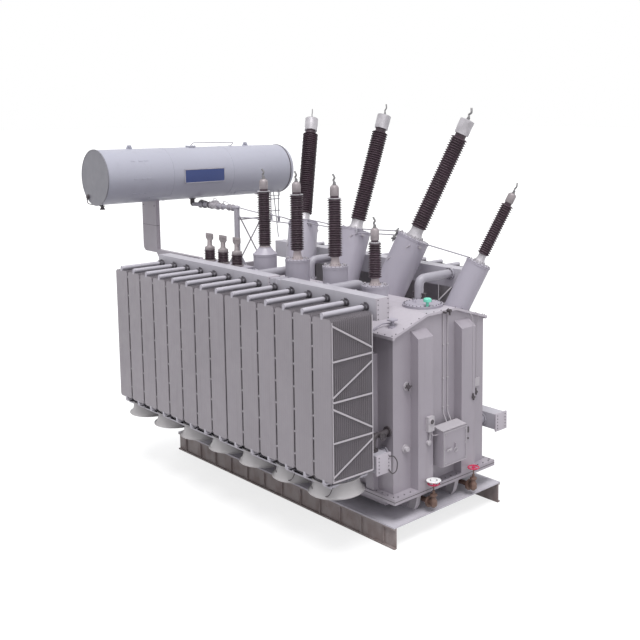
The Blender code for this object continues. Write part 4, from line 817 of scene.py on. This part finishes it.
place = frame_at((MV_NEUTRAL_X, MV_Y, MV_NEUTRAL_TOP))
turret_piece("mv_neutral_turret", place, MV_TURRET_R, 0.9)
bushing_set(
    "mv_neutral_bushing", place, 0.2, porcelain=(0.142, 0.85), core=0.097, shed=0.135, sheds=15,
    neck_radius=0.075, ring=(0.862, 0.115), cap=(0.915, 1.167), cap_radius=0.088, dome=0.08, tip=1.367,
    sway=0.034, bar=0.02,
    collar=[(0, 0.15), (0.078, 0.15), (0.082, 0.1), (0.1, 0.03), (0.127, 0.026), (0.127, 0), (0, 0)],
    collar_paint=SEAL, cap_paint=BEIGE,
)

LV_Y = -0.85
LV_FOOT_Z = 4.73
LV_FLAG = ((-0.06, 5.215), (0.06, 5.215), (0.15, 5.3), (0.15, 5.415), (-0.15, 5.415), (-0.15, 5.3))
for letter, x in (("a", -3.36), ("b", -2.785), ("c", -2.21)):
    place = at(x, LV_Y, LV_FOOT_Z)
    turned(
        "lv_porcelain_" + letter,
        [(0, 0.29), *shed_stack(0.04, 0.29, 0.108, 0.136, 6), (0.108, 0.04), (0, 0.04)],
        place, 40, PORCELAIN, "porcelain", sharp=50, replaces=["lv_bushing_" + letter],
    )
    metal = Shape()
    metal.lathe([
        (0, 0.53), (0.055, 0.53), (0.058, 0.4), (0.075, 0.37), (0.115, 0.355), (0.12, 0.34), (0.12, 0.288),
        (0, 0.288),
    ], place, 40)
    metal.disc(0.15, 0, 0.042, place, 40)
    metal.prism([(x + across, z) for across, z in LV_FLAG], 1, LV_Y - 0.0125, LV_Y + 0.0125)
    for dx in (-0.09, 0.0, 0.09):
        metal.disc(0.016, -0.03, 0.03, facing((x + dx, LV_Y, 5.36), (0, -1, 0)), 12)
    piece("lv_terminal_" + letter, metal, BEIGE, "porcelain", bevel=0.002)


# Oil pipe

OIL_X = -3.42
OIL_Z = 5.96
ELBOW_X = -5.2
ELBOW_Y = -0.16
COVER_TOP = cover_top(0)

oil = Shape()
oil.pipe([
    (OIL_X, 0, OIL_Z), (-4.8, 0, OIL_Z), (-5.09, ELBOW_Y, OIL_Z), (ELBOW_X, ELBOW_Y, OIL_Z),
    (ELBOW_X, ELBOW_Y, 6.13),
], 0.11, 0.053, 24, 8)
oil.rod((OIL_X, 0, COVER_TOP), (OIL_X, 0, 6.0), 0.07, 28)
oil.lathe([(0, 0.03), (0.03, 0.028), (0.075, 0.01), (0.082, 0), (0.082, -0.03), (0, -0.03)], at(OIL_X, 0, 6.0), 28)
oil.disc(PIPE_FLANGE_R, 0, 0.032, at(OIL_X, 0, COVER_TOP), 36)
for way in (-1, 1):
    oil.prism([
        (OIL_X + way * 0.5, COVER_TOP), (OIL_X, COVER_TOP), (OIL_X, COVER_TOP + 0.48),
        (OIL_X + way * 0.06, COVER_TOP + 0.48), (OIL_X + way * 0.5, COVER_TOP + 0.03),
    ], 1, -0.008, 0.008)
piece("oil_pipe_run", oil, PIPE, "cover_paint", sharp=40, replaces=["oil_pipe"])
oil_valve = Shape()
for start, length, start_y, end_y, radius in (
    (-4.84, 0.03, 0, 0, 0.1), (-4.9, 0.06, -0.02, -0.03, 0.075), (-5.0, 0.03, -0.02, -0.03, 0.1),
    (-4.62, 0.025, 0, 0, 0.09),
):
    oil_valve.rod((start, start_y, OIL_Z), (start - length, end_y, OIL_Z), radius, 28)
oil_valve.rod((-4.93, -0.03, OIL_Z), (-4.93, -0.03, OIL_Z + 0.12), 0.02, 12)
oil_valve.box((-5.0, -4.86), (-0.045, -0.015), (OIL_Z + 0.1, OIL_Z + 0.12))
piece("oil_valve", oil_valve, BOLT, "cover_paint", sharp=30)


# Braces over the open ends of the banks

def strip(shape, x, way, start, end, width, thickness):
    """A flat bar between two (y, z) points, lying on the plane x."""
    start, end = Vector(start), Vector(end)
    along = (end - start).normalized()
    across = Vector((-along.y, along.x)) * width / 2
    outline = [start + across, end + across, end - across, start - across]
    shape.prism([tuple(point) for point in outline], 0, *sorted((x, x + way * thickness)))


BRACE_Y = (2.955, 1.995)
BRACES = (
    (0, 1.715, 1, 1.7), (0, 1.8, 1, 2.31), (0, 2.44, 1, 2.415), (1, 2.525, 0, 3.08), (0, 3.195, 1, 3.18),
    (0, 3.28, 1, 3.8), (0, 3.94, 1, 3.95), (1, 4.05, 0, 4.6),
)
for label, side, ends in (
    ("near", -1, ((BANK_FRONT_X, 1), (-4.037, -1))), ("far", 1, ((1.648, 1), (-3.903, -1))),
):
    bars = Shape()
    for x, way in ends:
        for first, first_z, last, last_z in BRACES:
            tips = (side * BRACE_Y[first], first_z), (side * BRACE_Y[last], last_z)
            strip(bars, x, way, *tips, 0.034, 0.006)
            for y, z in tips:
                bars.bolt(facing((x + way * 0.006, y, z), (way, 0, 0)), 0.008, 0.008)
        for y in BRACE_Y:
            strip(bars, x, way, (side * y, 1.7), (side * y, 4.66), 0.022, 0.004)
    piece("bank_braces_" + label, bars, PALE, "radiator_paint")


# Fittings on the conservator

def on_drum(y, z):
    """A placement on the drum's side that faces the tank, at a height."""
    rise = z - DRUM_Z
    normal = Vector((math.sqrt(DRUM_R ** 2 - rise ** 2), 0, rise)).normalized()
    along = Vector((0, 1, 0))
    turn = Matrix((along.cross(normal), along, normal)).transposed().to_4x4()
    return Matrix.Translation(Vector((DRUM_X, y, DRUM_Z)) + normal * DRUM_R) @ turn


lugs = Shape()
for y in (-1.9, 1.53):
    lugs.prism([
        (y - 0.09, 7.43), (y + 0.09, 7.43), (y + 0.045, 7.535), (y - 0.045, 7.535),
    ], 0, DRUM_X - 0.012, DRUM_X + 0.012)
    lugs.rod((DRUM_X - 0.03, y, 7.495), (DRUM_X + 0.03, y, 7.495), 0.022, 16)
hatch = at(DRUM_X, -0.17, 7.425)
lugs.lathe([
    (0, 0.056), (0.1, 0.056), (0.135, 0.05), (0.135, 0.03), (0.115, 0.028), (0.115, 0), (0, 0),
], hatch, 40)
lugs.bolt_circle(hatch @ at(0, 0, 0.052), 0.118, 12, 0.008, 0.01)
piece("drum_lugs", lugs, DRUM, "drum_paint", sharp=30)

vent = Shape()
vent.pipe([
    (DRUM_X, -0.17, 7.47), (DRUM_X, -0.1, 7.555), (DRUM_X, 1.16, 7.535), (DRUM_X, 1.03, 7.42),
], 0.05, 0.012, 12)
vent.disc(0.03, 0, 0.03, at(DRUM_X, 1.03, 7.43), 16)
piece("drum_vent_pipe", vent, PIPE, "drum_paint", sharp=40)

pads = Shape()
for z in (7.17, 6.74, 6.37):
    for y in (-2.1, -1.9, -1.75):
        pads.box((-0.014, 0.014), (-0.05, 0.05), (-0.004, 0.007), on_drum(y, z))
for span in ((-1.62, -1.02), (0.92, 1.5)):
    pads.box((-0.06, 0.06), span, (-0.012, 0.01), on_drum(0, 6.22))
piece("drum_pads", pads, DRUM, "drum_paint", bevel=0.003)

plate = Shape()
plate.box((-4.53, -4.522), (-0.755, 0.403), (6.575, 6.905))
piece("drum_plate", plate, BLUE, "drum_paint", bevel=0.002)
holder = Shape()
for y_span, z_span in (
    ((-0.765, 0.413), (6.565, 6.581)), ((-0.765, 0.413), (6.899, 6.915)),
    ((-0.765, -0.749), (6.565, 6.915)), ((0.397, 0.413), (6.565, 6.915)),
):
    holder.box((-4.528, -4.519), y_span, z_span)
for y in (-0.7, -0.18, 0.35):
    for z, root in ((6.62, -4.57), (6.86, -4.55)):
        holder.rod((root, y, z), (-4.527, y, z), 0.012, 12)
piece("drum_plate_frame", holder, CAP, "drum_paint")

drain = Shape()
drain.lathe([
    (0, 0), (0.026, 0), (0.026, -0.03), (0.062, -0.034), (0.062, -0.05), (0.035, -0.054),
    (0.045, -0.09), (0.07, -0.125), (0.066, -0.128), (0, -0.1),
], at(DRUM_X, -2.66, 6.122), 24)
drain.lathe([
    (0, 0.05), (0.035, 0.05), (0.035, 0.02), (0.055, 0.018), (0.055, 0), (0, 0),
], facing((-5.56, -2.828, 6.3), (0, -1, 0)), 20)
drain.rod((-5.56, -2.865, 6.3), (-5.56, -2.865, 6.22), 0.014, 12)
drain.pipe([
    (-5.56, -2.865, 6.23), (-5.54, -2.865, 6.13), (-5.38, -2.8, 6.11), (-5.22, -2.68, 6.09),
], 0.05, 0.011, 10)
piece("drum_drain", drain, DARK, "valve_brass", sharp=30)

BREATHER_X = -4.9
breather = Shape()
for y, low_y, low in ((2.14, 2.14, 5.55), (2.23, 2.374, 4.87), (2.4, 2.4, 5.45)):
    breather.rod((BREATHER_X, y, 6.2), (BREATHER_X, low_y, low), 0.013, 12)
for y, low in ((2.14, 5.55), (2.4, 5.45)):
    breather.lathe([
        (0, 0), (0.03, 0), (0.045, -0.02), (0.045, -0.05), (0.035, -0.055), (0.035, -0.15), (0.045, -0.155),
        (0.045, -0.175), (0, -0.18),
    ], at(BREATHER_X, y, low), 20)
breather.pipe([
    (BREATHER_X, 2.08, 6.2), (BREATHER_X, 2.08, 6.06), (BREATHER_X, 2.46, 6.02), (BREATHER_X, 2.42, 6.19),
], 0.08, 0.01, 10)
for z in (5.95, 5.62):
    breather.box((-4.915, -4.89), (2.1, 2.44), (z - 0.012, z + 0.012))
breather.box((-5.22, -4.895), (2.13, 2.16), (5.6, 5.63))
breather.box((-5.22, -5.195), (2.00, 2.16), (5.6, 5.63))
piece("breather_pipes", breather, PIPE, "drum_paint", sharp=40)

seam = Shape()
seam.box((-5.661, -4.979), (-1.3515, -1.2485), (5.5, 5.509))
for x in (-5.58, -5.06):
    seam.bolt(facing((x, -1.3505, 6.0), (0, -1, 0)), 0.012, 0.012)
piece("column_seam", seam, DARK, "tank_paint")

relay = Shape()
relay.rod((-4.5, 0, OIL_Z), (-4.26, 0, OIL_Z), 0.085, 28)
for x, radius in ((-4.53, 0.1), (-4.26, 0.1), (-4.05, 0.085), (-3.76, 0.085), (-3.6, 0.085)):
    relay.rod((x, 0, OIL_Z), (x + 0.022, 0, OIL_Z), radius, 28)
relay.box((-4.46, -4.3), (-0.06, 0.06), (OIL_Z + 0.06, OIL_Z + 0.13))
for route in (
    ((-4.44, 0.12), (-4.44, 0.19), (-4.32, 0.19), (-4.32, 0.12)),
    ((-4.03, 0.05), (-4.0, 0.14), (-3.8, 0.12), (-3.78, 0.05)),
):
    relay.pipe([(x, 0, OIL_Z + rise) for x, rise in route], 0.04, 0.009, 10)
for x in (-4.1, -3.7):
    relay.bolt_circle(ahead(x, 0, OIL_Z), 0.07, 6, 0.006, 0.05)
piece("oil_relay", relay, PALE, "cover_paint", sharp=35)
elbow = Shape()
elbow.pipe([(-5.14, ELBOW_Y, OIL_Z), (ELBOW_X, ELBOW_Y, OIL_Z), (ELBOW_X, ELBOW_Y, 6.12)], 0.1, 0.058, 24, 8)
elbow.disc(0.09, 0, 0.02, at(ELBOW_X, ELBOW_Y, 6.095), 28)
piece("oil_elbow", elbow, DARK, "cover_paint", sharp=40)


# Pipes between the turret tops

def rim(place, radius, toward, drop):
    """A point on a turret's side toward an (x, y) direction, some way below its top."""
    axis = (place.to_3x3() @ Vector((0, 0, 1))).normalized()
    toward = Vector((*toward, 0))
    side = toward - axis * axis.dot(toward)
    return place.translation + side.normalized() * radius - axis * drop


def hv_rim(letter, x, y, drop):
    return rim(hv_place[letter], 0.35, (x, y), drop)


gas = Shape()
for path in (
    [(-3.4, 0.0, 5.99), (-2.95, 0.16, 5.9), (-2.36, 0.62, 5.77), hv_rim("a", -0.2, -1, -0.01)],
    [(-3.4, 0.0, 5.74), (-2.62, 0.0, 5.77), (-2.4, 0.5, 5.66), hv_rim("a", -0.1, -1, 0.09)],
    [hv_rim("a", 1, -0.5, 0.0), hv_rim("b", -1, -0.9, 0.0)],
    [hv_rim("a", 1, -0.5, 0.09), hv_rim("b", -1, -0.9, 0.07)],
    [hv_rim("b", 1, -0.8, 0.0), hv_rim("c", -1, -0.6, 0.0)],
    [hv_rim("b", 1, -0.8, 0.09), hv_rim("c", -1, -0.6, 0.1)],
    [hv_rim("c", 1, -0.5, 0.02), rim(NEUTRAL_PLACE, 0.25, (-1, -0.6), 0.0)],
):
    gas.pipe(path, 0.1, 0.014, 10)
for letter, toward in (("a", (-0.2, -1)), ("b", (-1, -0.9)), ("b", (1, -0.8)), ("c", (-1, -0.6))):
    gas.rod(rim(hv_place[letter], 0.385, toward, 0.13), rim(hv_place[letter], 0.385, toward, 0.02), 0.022, 12)
piece("gas_pipes", gas, PIPE, "cover_paint", sharp=40)

cluster = Shape()
for low, high, radius, sides in (
    ((0.4, 0.05), (0.4, 0), 0.042, 16), ((0.4, 0.2), (0.4, 0.15), 0.042, 16),
    ((0.4, 0.28), (0.4, -0.05), 0.018, 12), ((0.34, 0.22), (0.46, 0.22), 0.02, 12),
):
    start, end = (rim(hv_place["c"], reach, (-1, -0.75), drop) for reach, drop in (low, high))
    cluster.rod(start, end, radius, sides)
piece("gas_valves", cluster, STEEL, "valve_brass", sharp=30)

trim = Shape()
for letter in "abc":
    place = hv_place[letter]
    trim.rod(rim(place, 0.385, (-0.35, -1), 0.66), rim(place, 0.385, (0.85, -1), 0.16), 0.012, 10)
    for toward in ((-1, -0.2), (1, -0.2), (0.2, 1)):
        inner = rim(place, 0.36, toward, 0.12)
        outer = rim(place, 0.405, toward, 0.12)
        trim.rod(inner, outer, 0.035, 16)
        trim.rod(outer, outer + (outer - inner).normalized() * 0.012, 0.022, 12)
    for toward in ((-0.9, -1), (0.9, -1), (0.0, 1)):
        trim.rod(rim(place, 0.3, toward, 0.0), rim(place, 0.3, toward, -0.05), 0.02, 12)
for x, top in ((0.03, MV_TOP), (1.31, MV_TOP), (MV_NEUTRAL_X, MV_NEUTRAL_TOP)):
    for dx, dy in ((-0.16, -0.13), (0.17, 0.11)):
        trim.rod((x + dx, MV_Y + dy, top - 0.01), (x + dx, MV_Y + dy, top + 0.05), 0.018, 12)
        trim.disc(0.027, 0, 0.015, at(x + dx, MV_Y + dy, top + 0.03), 12)
piece("turret_fittings", trim, PALE, "cover_paint", sharp=35)


# Fittings on the cover

lids = Shape()
manhole = at(3.0, 0.1, COVER_TOP)
lids.lathe([
    (0, 0.062), (0.33, 0.062), (0.34, 0.05), (0.42, 0.05), (0.42, 0.028), (0.41, 0.026), (0.42, 0.024),
    (0.42, 0.004), (0.37, 0), (0.37, -0.06), (0, -0.06),
], manhole, 72)
for x, y in ((2.86, 0), (3.1, 0.22)):
    lids.torus(0.045, 0.008, at(x, y, 4.485) @ Matrix.Rotation(math.pi / 2, 4, "X"), 20)
lids.lathe([
    (0, 0.145), (0.105, 0.145), (0.105, 0.125), (0.05, 0.105), (0.035, 0.09), (0.035, 0.02), (0.09, 0.014),
    (0.09, -0.03), (0, -0.03),
], at(3.3, -1.05, cover_top(1.05)), 32)
lids.pipe([
    (3.3, -1.02, cover_top(1.05) + 0.05), (3.12, -1.12, cover_top(1.05) + 0.05),
    (3.05, -1.3, cover_top(1.3) + 0.04), (3.05, -1.33, cover_top(1.3) - 0.02),
], 0.06, 0.016, 10)
for x, y in ((-2.4, 0.22), (-0.3, 0.02), (0.7, 0.05)):
    spot = at(x, y, COVER_TOP)
    lids.lathe([
        (0, 0.05), (0.15, 0.05), (0.16, 0.045), (0.16, 0.015), (0.13, 0.01), (0.13, -0.04), (0, -0.04),
    ], spot, 40)
    lids.bolt_circle(spot @ at(0, 0, 0.047), 0.135, 12, 0.009, 0.012)
piece("cover_lids", lids, COVER, "cover_paint", sharp=30)

FLANGE_TOP = 0.95
FLANGE_BOTTOM = 0.83
studs = Shape()
studs.bolt_circle(manhole @ at(0, 0, 0.05), 0.385, 28, 0.012, 0.016)
for side in (-1, 1):
    for i in range(37):
        studs.bolt(facing((-3.6 + 0.2 * i, side * 1.345, cover_top(1.345)), (0, side * COVER_SLOPE, 1)), 0.011, 0.014)
for x in (-3.615, 3.615):
    for i in range(13):
        y = -1.26 + 0.21 * i
        lean = 0 if abs(y) < COVER_FLAT_Y else math.copysign(COVER_SLOPE, y)
        studs.bolt(facing((x, y, cover_top(y)), (0, lean, 1)), 0.011, 0.014)
for side in (-1, 1):
    for i in range(47):
        x = -3.7 + 7.4 * i / 46
        studs.bolt(at(x, side * 1.42, FLANGE_TOP), 0.013, 0.018)
        studs.bolt(facing((x, side * 1.45, FLANGE_BOTTOM), (0, 0, -1)), 0.011, 0.014)
for x in (-3.745, 3.745):
    for i in range(17):
        y = -1.34 + 2.68 * i / 16
        if not 0.39 < abs(y) < 0.87:
            studs.bolt(at(x, y, FLANGE_TOP), 0.013, 0.018)
piece("flange_bolts", studs, BOLT, "tank_paint")

# Noses of the two girders under the tank's ends
noses = Shape()
for way in (-1, 1):
    for y in (-0.71, 0.4):
        for half, outline in (
            (0.011, ((3.24, 0.452), (3.56, 0.452), (3.63, 0.56), (3.695, 0.828), (3.24, 0.828))),
            (0.055, ((3.56, 0.452), (3.63, 0.56), (3.695, 0.828), (3.712, 0.828), (3.646, 0.553), (3.577, 0.452))),
        ):
            noses.prism([(way * x, z) for x, z in outline], 1, y - half, y + half)
piece("girder_noses", noses, PALE, "tank_paint", bevel=0.002)

GASKET_Z = (0.884, 0.898)
gasket = Shape()
for side in (-1, 1):
    gasket.box((-3.8015, 3.8015), sorted((side * 1.4795, side * 1.4815)), GASKET_Z)
for way in (-1, 1):
    gasket.box(sorted((way * 3.7995, way * 3.8015)), (-1.4815, 1.4815), GASKET_Z)
piece("flange_gasket", gasket, DARK, "tank_paint")

turned("teal_valve_cap", [
    (0, 0.222), (0.06, 0.22), (0.082, 0.202), (0.085, 0.15), (0.068, 0.144), (0.03, 0.14), (0.03, 0.05),
    (0, 0.05),
], at(3.3, -0.07, COVER_TOP), 32, TEAL, "cover_paint", sharp=40)

dark = Shape()
for x, y in ((2.3, 0.58), (2.52, 0.62)):
    z = cover_top(y)
    for low, high, radius, sides in ((-0.02, 0.16, 0.035, 16), (0.07, 0.1, 0.062, 20), (0.16, 0.18, 0.055, 20)):
        dark.rod((x, y, z + low), (x, y, z + high), radius, sides)
dark.rod((2.3, 0.58, 4.47), (2.52, 0.62, 4.46), 0.026, 16)
dark.rod((3.66, 0.14, 4.4), (3.75, 0.14, 4.4), 0.035, 16)
dark.rod((3.72, 0.14, 4.4), (3.72, 0.14, 4.31), 0.022, 12)
dark.rod((3.66, 0.02, 4.38), (3.74, 0.02, 4.38), 0.022, 12)

# Dark flanged outlet beside the near header's end, with its handwheel
OUTLET_X, OUTLET_Y, OUTLET_Z = 3.46, -1.735, 2.2
HUB_Y = -1.6
dark.pipe([
    (OUTLET_X, OUTLET_Y, 1.9), (OUTLET_X, OUTLET_Y, OUTLET_Z), (OUTLET_X, -1.31, OUTLET_Z),
], 0.13, 0.058, 24, 8)
for place in (at(OUTLET_X, OUTLET_Y, 1.912), facing((OUTLET_X, -1.335, OUTLET_Z), (0, -1, 0))):
    dark.disc(0.105, 0, 0.03, place, 28)
dark.rod((OUTLET_X, HUB_Y, OUTLET_Z), (3.6, HUB_Y, OUTLET_Z), 0.045, 20)
dark.torus(0.075, 0.01, ahead(3.61, HUB_Y, OUTLET_Z), 28)
dark.rod((3.6, HUB_Y - 0.075, OUTLET_Z), (3.6, HUB_Y + 0.075, OUTLET_Z), 0.008, 8)
dark.rod((3.6, HUB_Y, OUTLET_Z - 0.075), (3.6, HUB_Y, OUTLET_Z + 0.075), 0.008, 8)
piece("dark_fittings", dark, DARK, "valve_brass", sharp=35)

cables = Shape()
for x in (3.25, 2.15):
    cables.pipe([
        (x - 0.34, -2.85, 1.545), (x - 0.24, -2.87, 1.36), (x + 0.02, -2.88, 1.29), (x + 0.26, -2.87, 1.36),
        (x + 0.34, -2.85, 1.545),
    ], 0.14, 0.009, 8)
cables.pipe([
    (3.78, -1.6, 1.86), (3.8, -1.5, 1.84), (3.8, -1.4, 1.7), (3.8, -1.43, 1.52), (3.8, -1.55, 1.49),
    (3.785, -1.62, 1.6),
], 0.07, 0.011, 10)
piece("cable_loops", cables, DARK, "radiator_paint", sharp=50)


# Fittings on the end wall, on the plate of the tank and on the faces of its ribs

RIB_X = 3.8
GAUGE_X = 3.872
wall = Shape()
wall.box((RIB_X, GAUGE_X), (-0.625, -0.455), (2.1, 2.4))
wall.lathe([(0, 0.02), (0.062, 0.02), (0.066, 0.012), (0.066, 0), (0, 0)], ahead(GAUGE_X, -0.54, 2.3), 32)
wall.lathe([(0, 0.05), (0.035, 0.05), (0.055, 0.04), (0.055, 0), (0, 0)], ahead(RIB_X, -0.56, 1.86), 24)
wall.pipe([(3.83, -0.54, 2.11), (3.83, -0.54, 1.98), (3.83, -0.56, 1.9)], 0.04, 0.013, 10)
wall.pipe([(3.83, -0.5, 2.11), (3.84, -0.5, 2.00), (3.84, -0.28, 1.96)], 0.05, 0.01, 10)
for y, z in ((-1.0, 1.8), (-0.96, 3.05)):
    wall.disc(0.085, 0, 0.02, ahead(TANK_END_X, y, z), 28)
wall.lathe([(0, 0.09), (0.045, 0.09), (0.055, 0.08), (0.055, 0.02), (0, 0.02)], ahead(TANK_END_X, -1.0, 1.8), 24)
for y in (0.07, 0.2):
    wall.pipe([(3.61, y, 4.34), (3.605, y, 4.0), (3.605, y, 2.3), (3.74, y, 2.06)], 0.08, 0.01, 10)
    for z in (3.7, 3.0, 2.4):
        wall.box((TANK_END_X, 3.62), (y - 0.02, y + 0.02), (z - 0.012, z + 0.012))
wall.pipe([(3.7, 0.7, 4.33), (RIB_X, 0.74, 4.2), (3.805, 0.76, 4.0), (3.805, 0.76, 2.56)], 0.06, 0.006, 8)
wall.pipe([(3.7, 0.95, 4.24), (3.69, 1.05, 4.15), (3.61, 1.08, 3.9), (3.61, 1.08, 2.56)], 0.06, 0.006, 8)
wall.box((TANK_END_X, 3.62), (0.98, 1.18), (2.62, 2.8))
wall.prism([(3.72, 2.07), (3.99, 2.07), (3.99, 2.078), (3.72, 2.12)], 1, -0.335, 0.365)
piece("end_wall_fittings", wall, PALE, "tank_paint", sharp=35)

black = Shape()
black.lathe([(0, 0.024), (0.046, 0.024), (0.048, 0.019), (0, 0.019)], ahead(GAUGE_X, -0.54, 2.3), 28)
for y, x in ((0.76, RIB_X), (1.08, TANK_END_X)):
    black.rod((x + 0.015, y, 2.58), (x + 0.03, y, 2.44), 0.018, 14)
    black.rod((x, y, 2.5), (x + 0.05, y, 2.5), 0.03, 16)
black.box((RIB_X, 3.825), (0.55, 0.63), (1.78, 1.9))
black.rod((RIB_X, 0.6, 1.66), (3.83, 0.6, 1.66), 0.022, 16)
black.rod((3.61, -0.96, 3.05), (3.68, -0.96, 3.05), 0.038, 20)
black.rod((3.655, -1.05, 3.05), (3.655, -0.87, 3.05), 0.013, 10)
black.rod((3.655, -0.96, 2.97), (3.655, -0.96, 3.13), 0.013, 10)
piece("end_wall_gauges", black, DARK, "tank_paint", sharp=35)

# Door fittings, which turn with the door
DOOR_X = 4.005
door = Shape()
for y_span, z_span in (
    ((-0.3, 0.34), (1.345, 1.357)), ((-0.3, 0.34), (2.033, 2.045)),
    ((-0.312, -0.3), (1.345, 2.045)), ((0.34, 0.352), (1.345, 2.045)),
):
    door.box((DOOR_X - 0.001, DOOR_X + 0.004), y_span, z_span)
for y in (-0.27, 0.31):
    for z in (1.4, 1.7, 1.99):
        door.bolt(ahead(DOOR_X, y, z), 0.01, 0.01)
latch = ahead(DOOR_X, -0.16, 1.66)
door.box((-0.07, 0.07), (-0.022, 0.022), (0, 0.008), latch)
door.lathe([(0, 0.026), (0.018, 0.026), (0.02, 0.008), (0, 0.008)], latch, 20)
door.torus(0.045, 0.006, ahead(DOOR_X + 0.004, 0.03, 1.62), 32)
piece("door_fittings", door, PALE, "tank_paint", body="door", sharp=30)

# Pale ring and hub on the near handwheel, which turn with it
WHEEL_X, WHEEL_Y, WHEEL_Z = 3.95, -0.56, 1.06
DISC_Z = 1.122
disc = Shape()
for profile in (
    [(0.146, 0.006), (0.08, 0.01), (0.078, 0), (0.146, -0.002), (0.146, 0.006)],
    [(0, 0.012), (0.058, 0.011), (0.06, 0.001), (0, 0.001)],
):
    disc.lathe(profile, at(WHEEL_X, WHEEL_Y, DISC_Z), 48)
disc.rod((WHEEL_X, WHEEL_Y, WHEEL_Z), (WHEEL_X, WHEEL_Y, DISC_Z + 0.004), 0.014, 16)
for i in range(3):
    angle = math.radians(60 + 120 * i)
    spot = Vector((WHEEL_X + 0.1 * math.cos(angle), WHEEL_Y + 0.1 * math.sin(angle), WHEEL_Z))
    disc.rod(spot, spot + Vector((0, 0, 0.064)), 0.005, 8)
piece("wheel_disc", disc, WHITE, "red_paint", body="wheel_near", sharp=40)


# Camera: the focal length and the principal point's offset from the middle are in pixels of the frame

FRAME = 640
FOCAL = 933.0
SHIFT_RIGHT = 103.0
SHIFT_UP = -90.0
SENSOR = 36.0
PITCH_DOWN = math.atan(118.0 / FOCAL)
AZIMUTH = math.radians(44.4)
right = Vector((math.cos(AZIMUTH), math.sin(AZIMUTH), 0))
level = Vector((-math.sin(AZIMUTH), math.cos(AZIMUTH), 0))
forward = level * math.cos(PITCH_DOWN) - Vector((0, 0, 1)) * math.sin(PITCH_DOWN)
camera_data = bpy.data.cameras.new("photo_camera")
camera_data.sensor_width = SENSOR
camera_data.lens = SENSOR * FOCAL / FRAME
camera_data.shift_x = -SHIFT_RIGHT / FRAME
camera_data.shift_y = SHIFT_UP / FRAME
camera = bpy.data.objects.new("photo_camera", camera_data)
camera_turn = Matrix((right, right.cross(forward), -forward)).transposed().to_4x4()
camera.matrix_world = at(16.17, -13.34, 8.35) @ camera_turn
SCENE.collection.objects.link(camera)
SCENE.camera = camera


# Light, floor and background

for name, energy, direction, angle in (
    ("key_light", 2.5, (-0.3, 0.24, -1.0), 30), ("fill_light", 0.45, (-1.0, 0.35, -0.3), 50),
):
    data = bpy.data.lights.new(name, "SUN")
    data.energy = energy
    data.angle = math.radians(angle)
    lamp = bpy.data.objects.new(name, data)
    lamp.rotation_euler = Vector(direction).to_track_quat("-Z", "Y").to_euler()
    SCENE.collection.objects.link(lamp)

world = bpy.data.worlds.new("studio")
SCENE.world = world
world.use_nodes = True
sky = world.node_tree
background = sky.nodes["Background"]
background.inputs["Color"].default_value = (0.96, 0.97, 1.0, 1.0)
background.inputs["Strength"].default_value = 0.82
plain = add_node(sky, "ShaderNodeBackground", {"Color": (1.0, 1.0, 1.0, 1.0)})
choose = add_node(sky, "ShaderNodeMixShader", {0: seen_ray(sky), 1: background.outputs[0], 2: plain.outputs[0]})
sky.links.new(choose.outputs[0], sky.nodes["World Output"].inputs[0])

# The floor looks white where it is seen, and gives the object less light than that from below
FLOOR_REACH = 400.0
floor_mesh = bpy.data.meshes.new("floor")
corners = [(x * FLOOR_REACH, y * FLOOR_REACH, 0) for x, y in ((-1, -1), (1, -1), (1, 1), (-1, 1))]
floor_mesh.from_pydata(corners, [], [(0, 1, 2, 3)])
floor = bpy.data.objects.new("floor", floor_mesh)
SCENE.collection.objects.link(floor)
floor_look = Surface("pale_floor", 0.85)
tone = floor_look.span(floor_look.noise(0.6, 4.0), 0.3, 0.7)
seen_tone = floor_look.mix(tone, (0.28, 0.28, 0.28, 1.0), (0.32, 0.32, 0.32, 1.0))
floor_ray = seen_ray(floor_look.tree)
floor_look.set("Base Color", floor_look.mix(floor_ray, (0.4, 0.39, 0.4, 1.0), seen_tone))
floor_look.set("Emission Color", (1.0, 1.0, 1.0, 1.0))
floor_look.set("Emission Strength", floor_look.span(floor_ray, 0.0, 1.0, 0.0, 0.74))
floor_mesh.materials.append(floor_look.material)

SCENE.view_settings.view_transform = "Standard"
